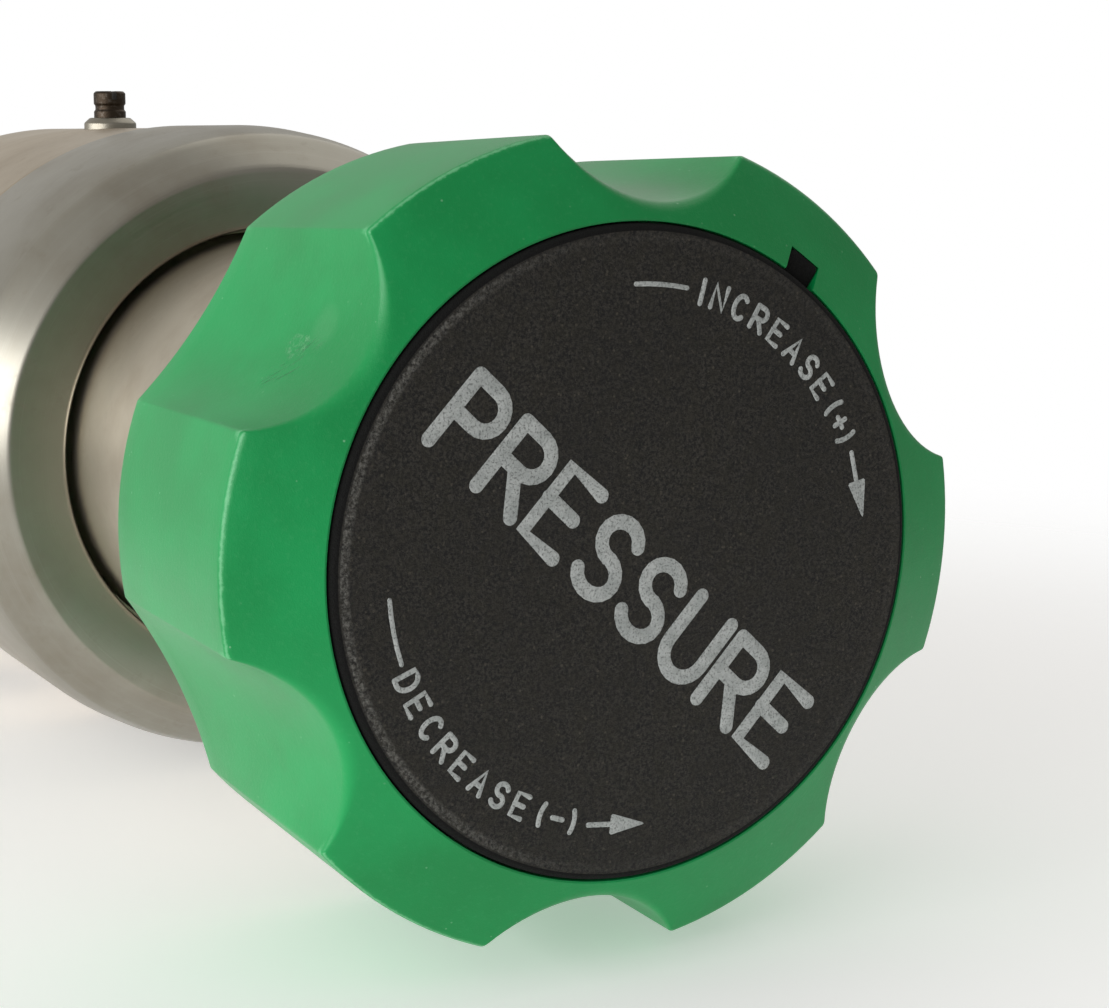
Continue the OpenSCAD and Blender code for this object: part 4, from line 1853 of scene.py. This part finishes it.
@dataclass
class SeatGroup(SubAssembly):
    """The seat, its retainer and seal, and the poppet with its damper and spring."""

    stroke: float = 0.8

    def make(self) -> None:
        """Build every piece of this sub-assembly."""
        keeper = Span.of("seat_retainer")
        ring = turned("seat_keeper", band(1.9, keeper.radius, keeper.back, keeper.front), 0.25)
        cut(ring, prism(hex_corners(4.6), keeper.front - 4, keeper.front + 1))
        self.add(ring, "housing", FINE_STEEL, "machined_steel", ["seat_retainer"])
        for name, node, bore, finish, slot in (
            ("seat_disc", "valve_seat", 1.75, TAN_POLYMER, "tan_peek"),
            ("seat_gasket", "seat_seal", 3.0, RUBBER, "seal_rubber"),
            ("damper_sleeve", "poppet_damper", 1.56, WHITE_POLYMER, "white_ptfe"),
        ):
            where = Span.of(node)
            loop = band(bore, where.radius, where.back, where.front)
            self.add(turned(name, loop, 0.12, sides=96), "housing", finish, slot, [node])
        rod = Span.of("poppet")
        thin, tail = 1.2, 1.5
        needle = [
            (0, rod.back), (thin, rod.back), (tail, rod.back + 0.3), (tail, 20),
            (rod.radius, 20), (rod.radius, 26.4), (thin, 28.55), (thin, rod.front - 0.3),
            (thin - 0.3, rod.front), (0, rod.front),
        ]
        piece = turned("poppet_needle", needle, 0.1, sides=96)
        self.add(piece, "poppet", FINE_STEEL, "machined_steel", ["poppet"])
        low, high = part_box("poppet_spring")
        foot, top = -high.y / MM, -low.y / MM
        spring = coil("poppet_coil", 3.3, 0.35, foot, top, 3.0, 10)
        self.add(spring, "housing", WIRE, "spring_steel", ["poppet_spring"])
        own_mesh(spring)


# ---------------------------------------------------------------- studio


@dataclass
class Studio:
    """Camera, floor and soft lights."""

    eye: tuple[float, float, float] = (-0.0716, -0.2381, 0.0254)
    right: tuple[float, float, float] = (0.877, -0.480, 0.0)
    ahead: tuple[float, float, float] = (0.474, 0.867, -0.156)
    lens: float = 75.94
    floor_drop: float = 0.0004
    floor_fade: tuple[float, float] = (62.0, 190.0)
    bright_side: tuple[float, float, float] = (-0.80, 0.60, 0.0)
    shade: tuple[float, float, float, float] = (0.32, 0.314, 0.302, 1)
    light: tuple[float, float, float, float] = (0.62, 0.61, 0.585, 1)
    heart: tuple[float, float, float] = (0.0, -0.09, 0.0)

    def camera(self) -> None:
        """Set up the camera."""
        data = bpy.data.cameras.new("camera")
        data.lens, data.sensor_width = self.lens, 36.0
        data.clip_start, data.clip_end = 0.01, 20
        view = bpy.data.objects.new("camera", data)
        back = -Vector(self.ahead).normalized()
        side = Vector(self.right).normalized()
        up = back.cross(side).normalized()
        side = up.cross(back)
        turn = Matrix((side, up, back)).transposed()
        view.matrix_world = Matrix.Translation(self.eye) @ turn.to_4x4()
        bpy.context.scene.collection.objects.link(view)
        bpy.context.scene.camera = view

    def floor(self) -> None:
        """Lay a wide pale floor just under the ring."""
        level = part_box("cap_ring")[0].z - self.floor_drop
        mesh = bpy.data.meshes.new("floor")
        work = bmesh.new()
        bmesh.ops.create_grid(work, x_segments=8, y_segments=8, size=6)
        work.to_mesh(mesh)
        work.free()
        ground = bpy.data.objects.new("floor", mesh)
        ground.location.z = level
        recipe = Recipe("pale_floor")
        cloud = recipe.noise(0.002, 2)
        x, forward, _ = recipe.parts()
        away = (x * x + (forward - 60) * (forward - 60)) ** 0.5
        recipe.surface(
            recipe.blend(cloud, (0.90, 0.90, 0.90), (0.93, 0.93, 0.93)),
            0.8 + cloud * 0.1,
            Alpha=1 - away.sharp(*self.floor_fade),
            Specular_IOR_Level=0.2,
            Emission_Color=(1.0, 1.0, 1.0),
            Emission_Strength=0.30,
        )
        mesh.materials.append(recipe.material)
        bpy.context.scene.collection.objects.link(ground)

    def lamp(
        self,
        name: str,
        at: Sequence[float],
        size: tuple[float, float],
        power: float,
        colour: Colour = (1, 1, 1),
    ) -> None:
        """Hang one soft rectangular lamp that faces the middle of the part.

        Args:
            name: Its name.
            at: Its place in metres.
            size: Width and height in metres.
            power: Watts.
            colour: Its colour.
        """
        data = bpy.data.lights.new(name, "AREA")
        data.shape, data.size, data.size_y = "RECTANGLE", *size
        data.energy, data.color = power, colour
        lamp = bpy.data.objects.new(name, data)
        lamp.location = at
        lamp.rotation_mode = "QUATERNION"
        lamp.rotation_quaternion = (Vector(self.heart) - Vector(at)).to_track_quat("-Z", "Y")
        bpy.context.scene.collection.objects.link(lamp)

    def air(self) -> None:
        """Fill the room with white for the eye and a soft gradient for the pieces."""
        world = bpy.data.worlds.new("room")
        world.use_nodes = True
        tree = world.node_tree
        tree.nodes.clear()

        def place(kind: str, **settings: Any) -> bpy.types.Node:
            """Add a node of the room."""
            made = tree.nodes.new(kind)
            for key, value in settings.items():
                setattr(made, key, value)
            return made

        where = place("ShaderNodeTexCoord")
        toward = place("ShaderNodeVectorMath", operation="DOT_PRODUCT")
        rise = place("ShaderNodeMapRange", interpolation_type="SMOOTHSTEP")
        ramp = place("ShaderNodeValToRGB")
        path = place("ShaderNodeLightPath")
        mix = place("ShaderNodeMix", data_type="RGBA")
        glow = place("ShaderNodeBackground")
        out = place("ShaderNodeOutputWorld")
        link = tree.links.new
        link(where.outputs["Generated"], toward.inputs[0])
        toward.inputs[1].default_value = self.bright_side
        link(toward.outputs["Value"], rise.inputs["Value"])
        rise.inputs["From Min"].default_value, rise.inputs["From Max"].default_value = -0.6, 0.8
        link(rise.outputs[0], ramp.inputs[0])
        low, high = ramp.color_ramp.elements
        low.color, high.color = self.shade, self.light
        link(path.outputs["Is Camera Ray"], mix.inputs[0])
        link(ramp.outputs[0], mix.inputs[6])
        mix.inputs[7].default_value = (1, 1, 1, 1)
        link(mix.outputs[2], glow.inputs[0])
        link(glow.outputs[0], out.inputs[0])
        bpy.context.scene.world = world

    def make(self) -> None:
        """Set up camera, floor, room and lamps."""
        scene = bpy.context.scene
        scene.view_settings.view_transform = "Standard"
        self.camera()
        self.floor()
        self.air()
        self.lamp("key", (-0.62, -0.14, 0.12), (0.9, 0.26), 3.2)
        self.lamp("top", (0.40, 0.15, 0.50), (0.7, 0.7), 0.9, (1.0, 0.97, 0.92))
        log.info("studio: camera, floor and lamps")


def main() -> None:
    """Build the sub-assemblies in order."""
    logging.basicConfig(level=logging.INFO, format="%(name)s %(message)s")
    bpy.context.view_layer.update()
    Studio().make()
    order = (
        HandKnob, Legend, AdjustingScrew, SpringHousing, PortedBody, SensingStack, SeatGroup
    )
    for kind in order:
        kind().make()
        log.info("%s done", kind.__name__)


if __name__ == "__main__":
    main()
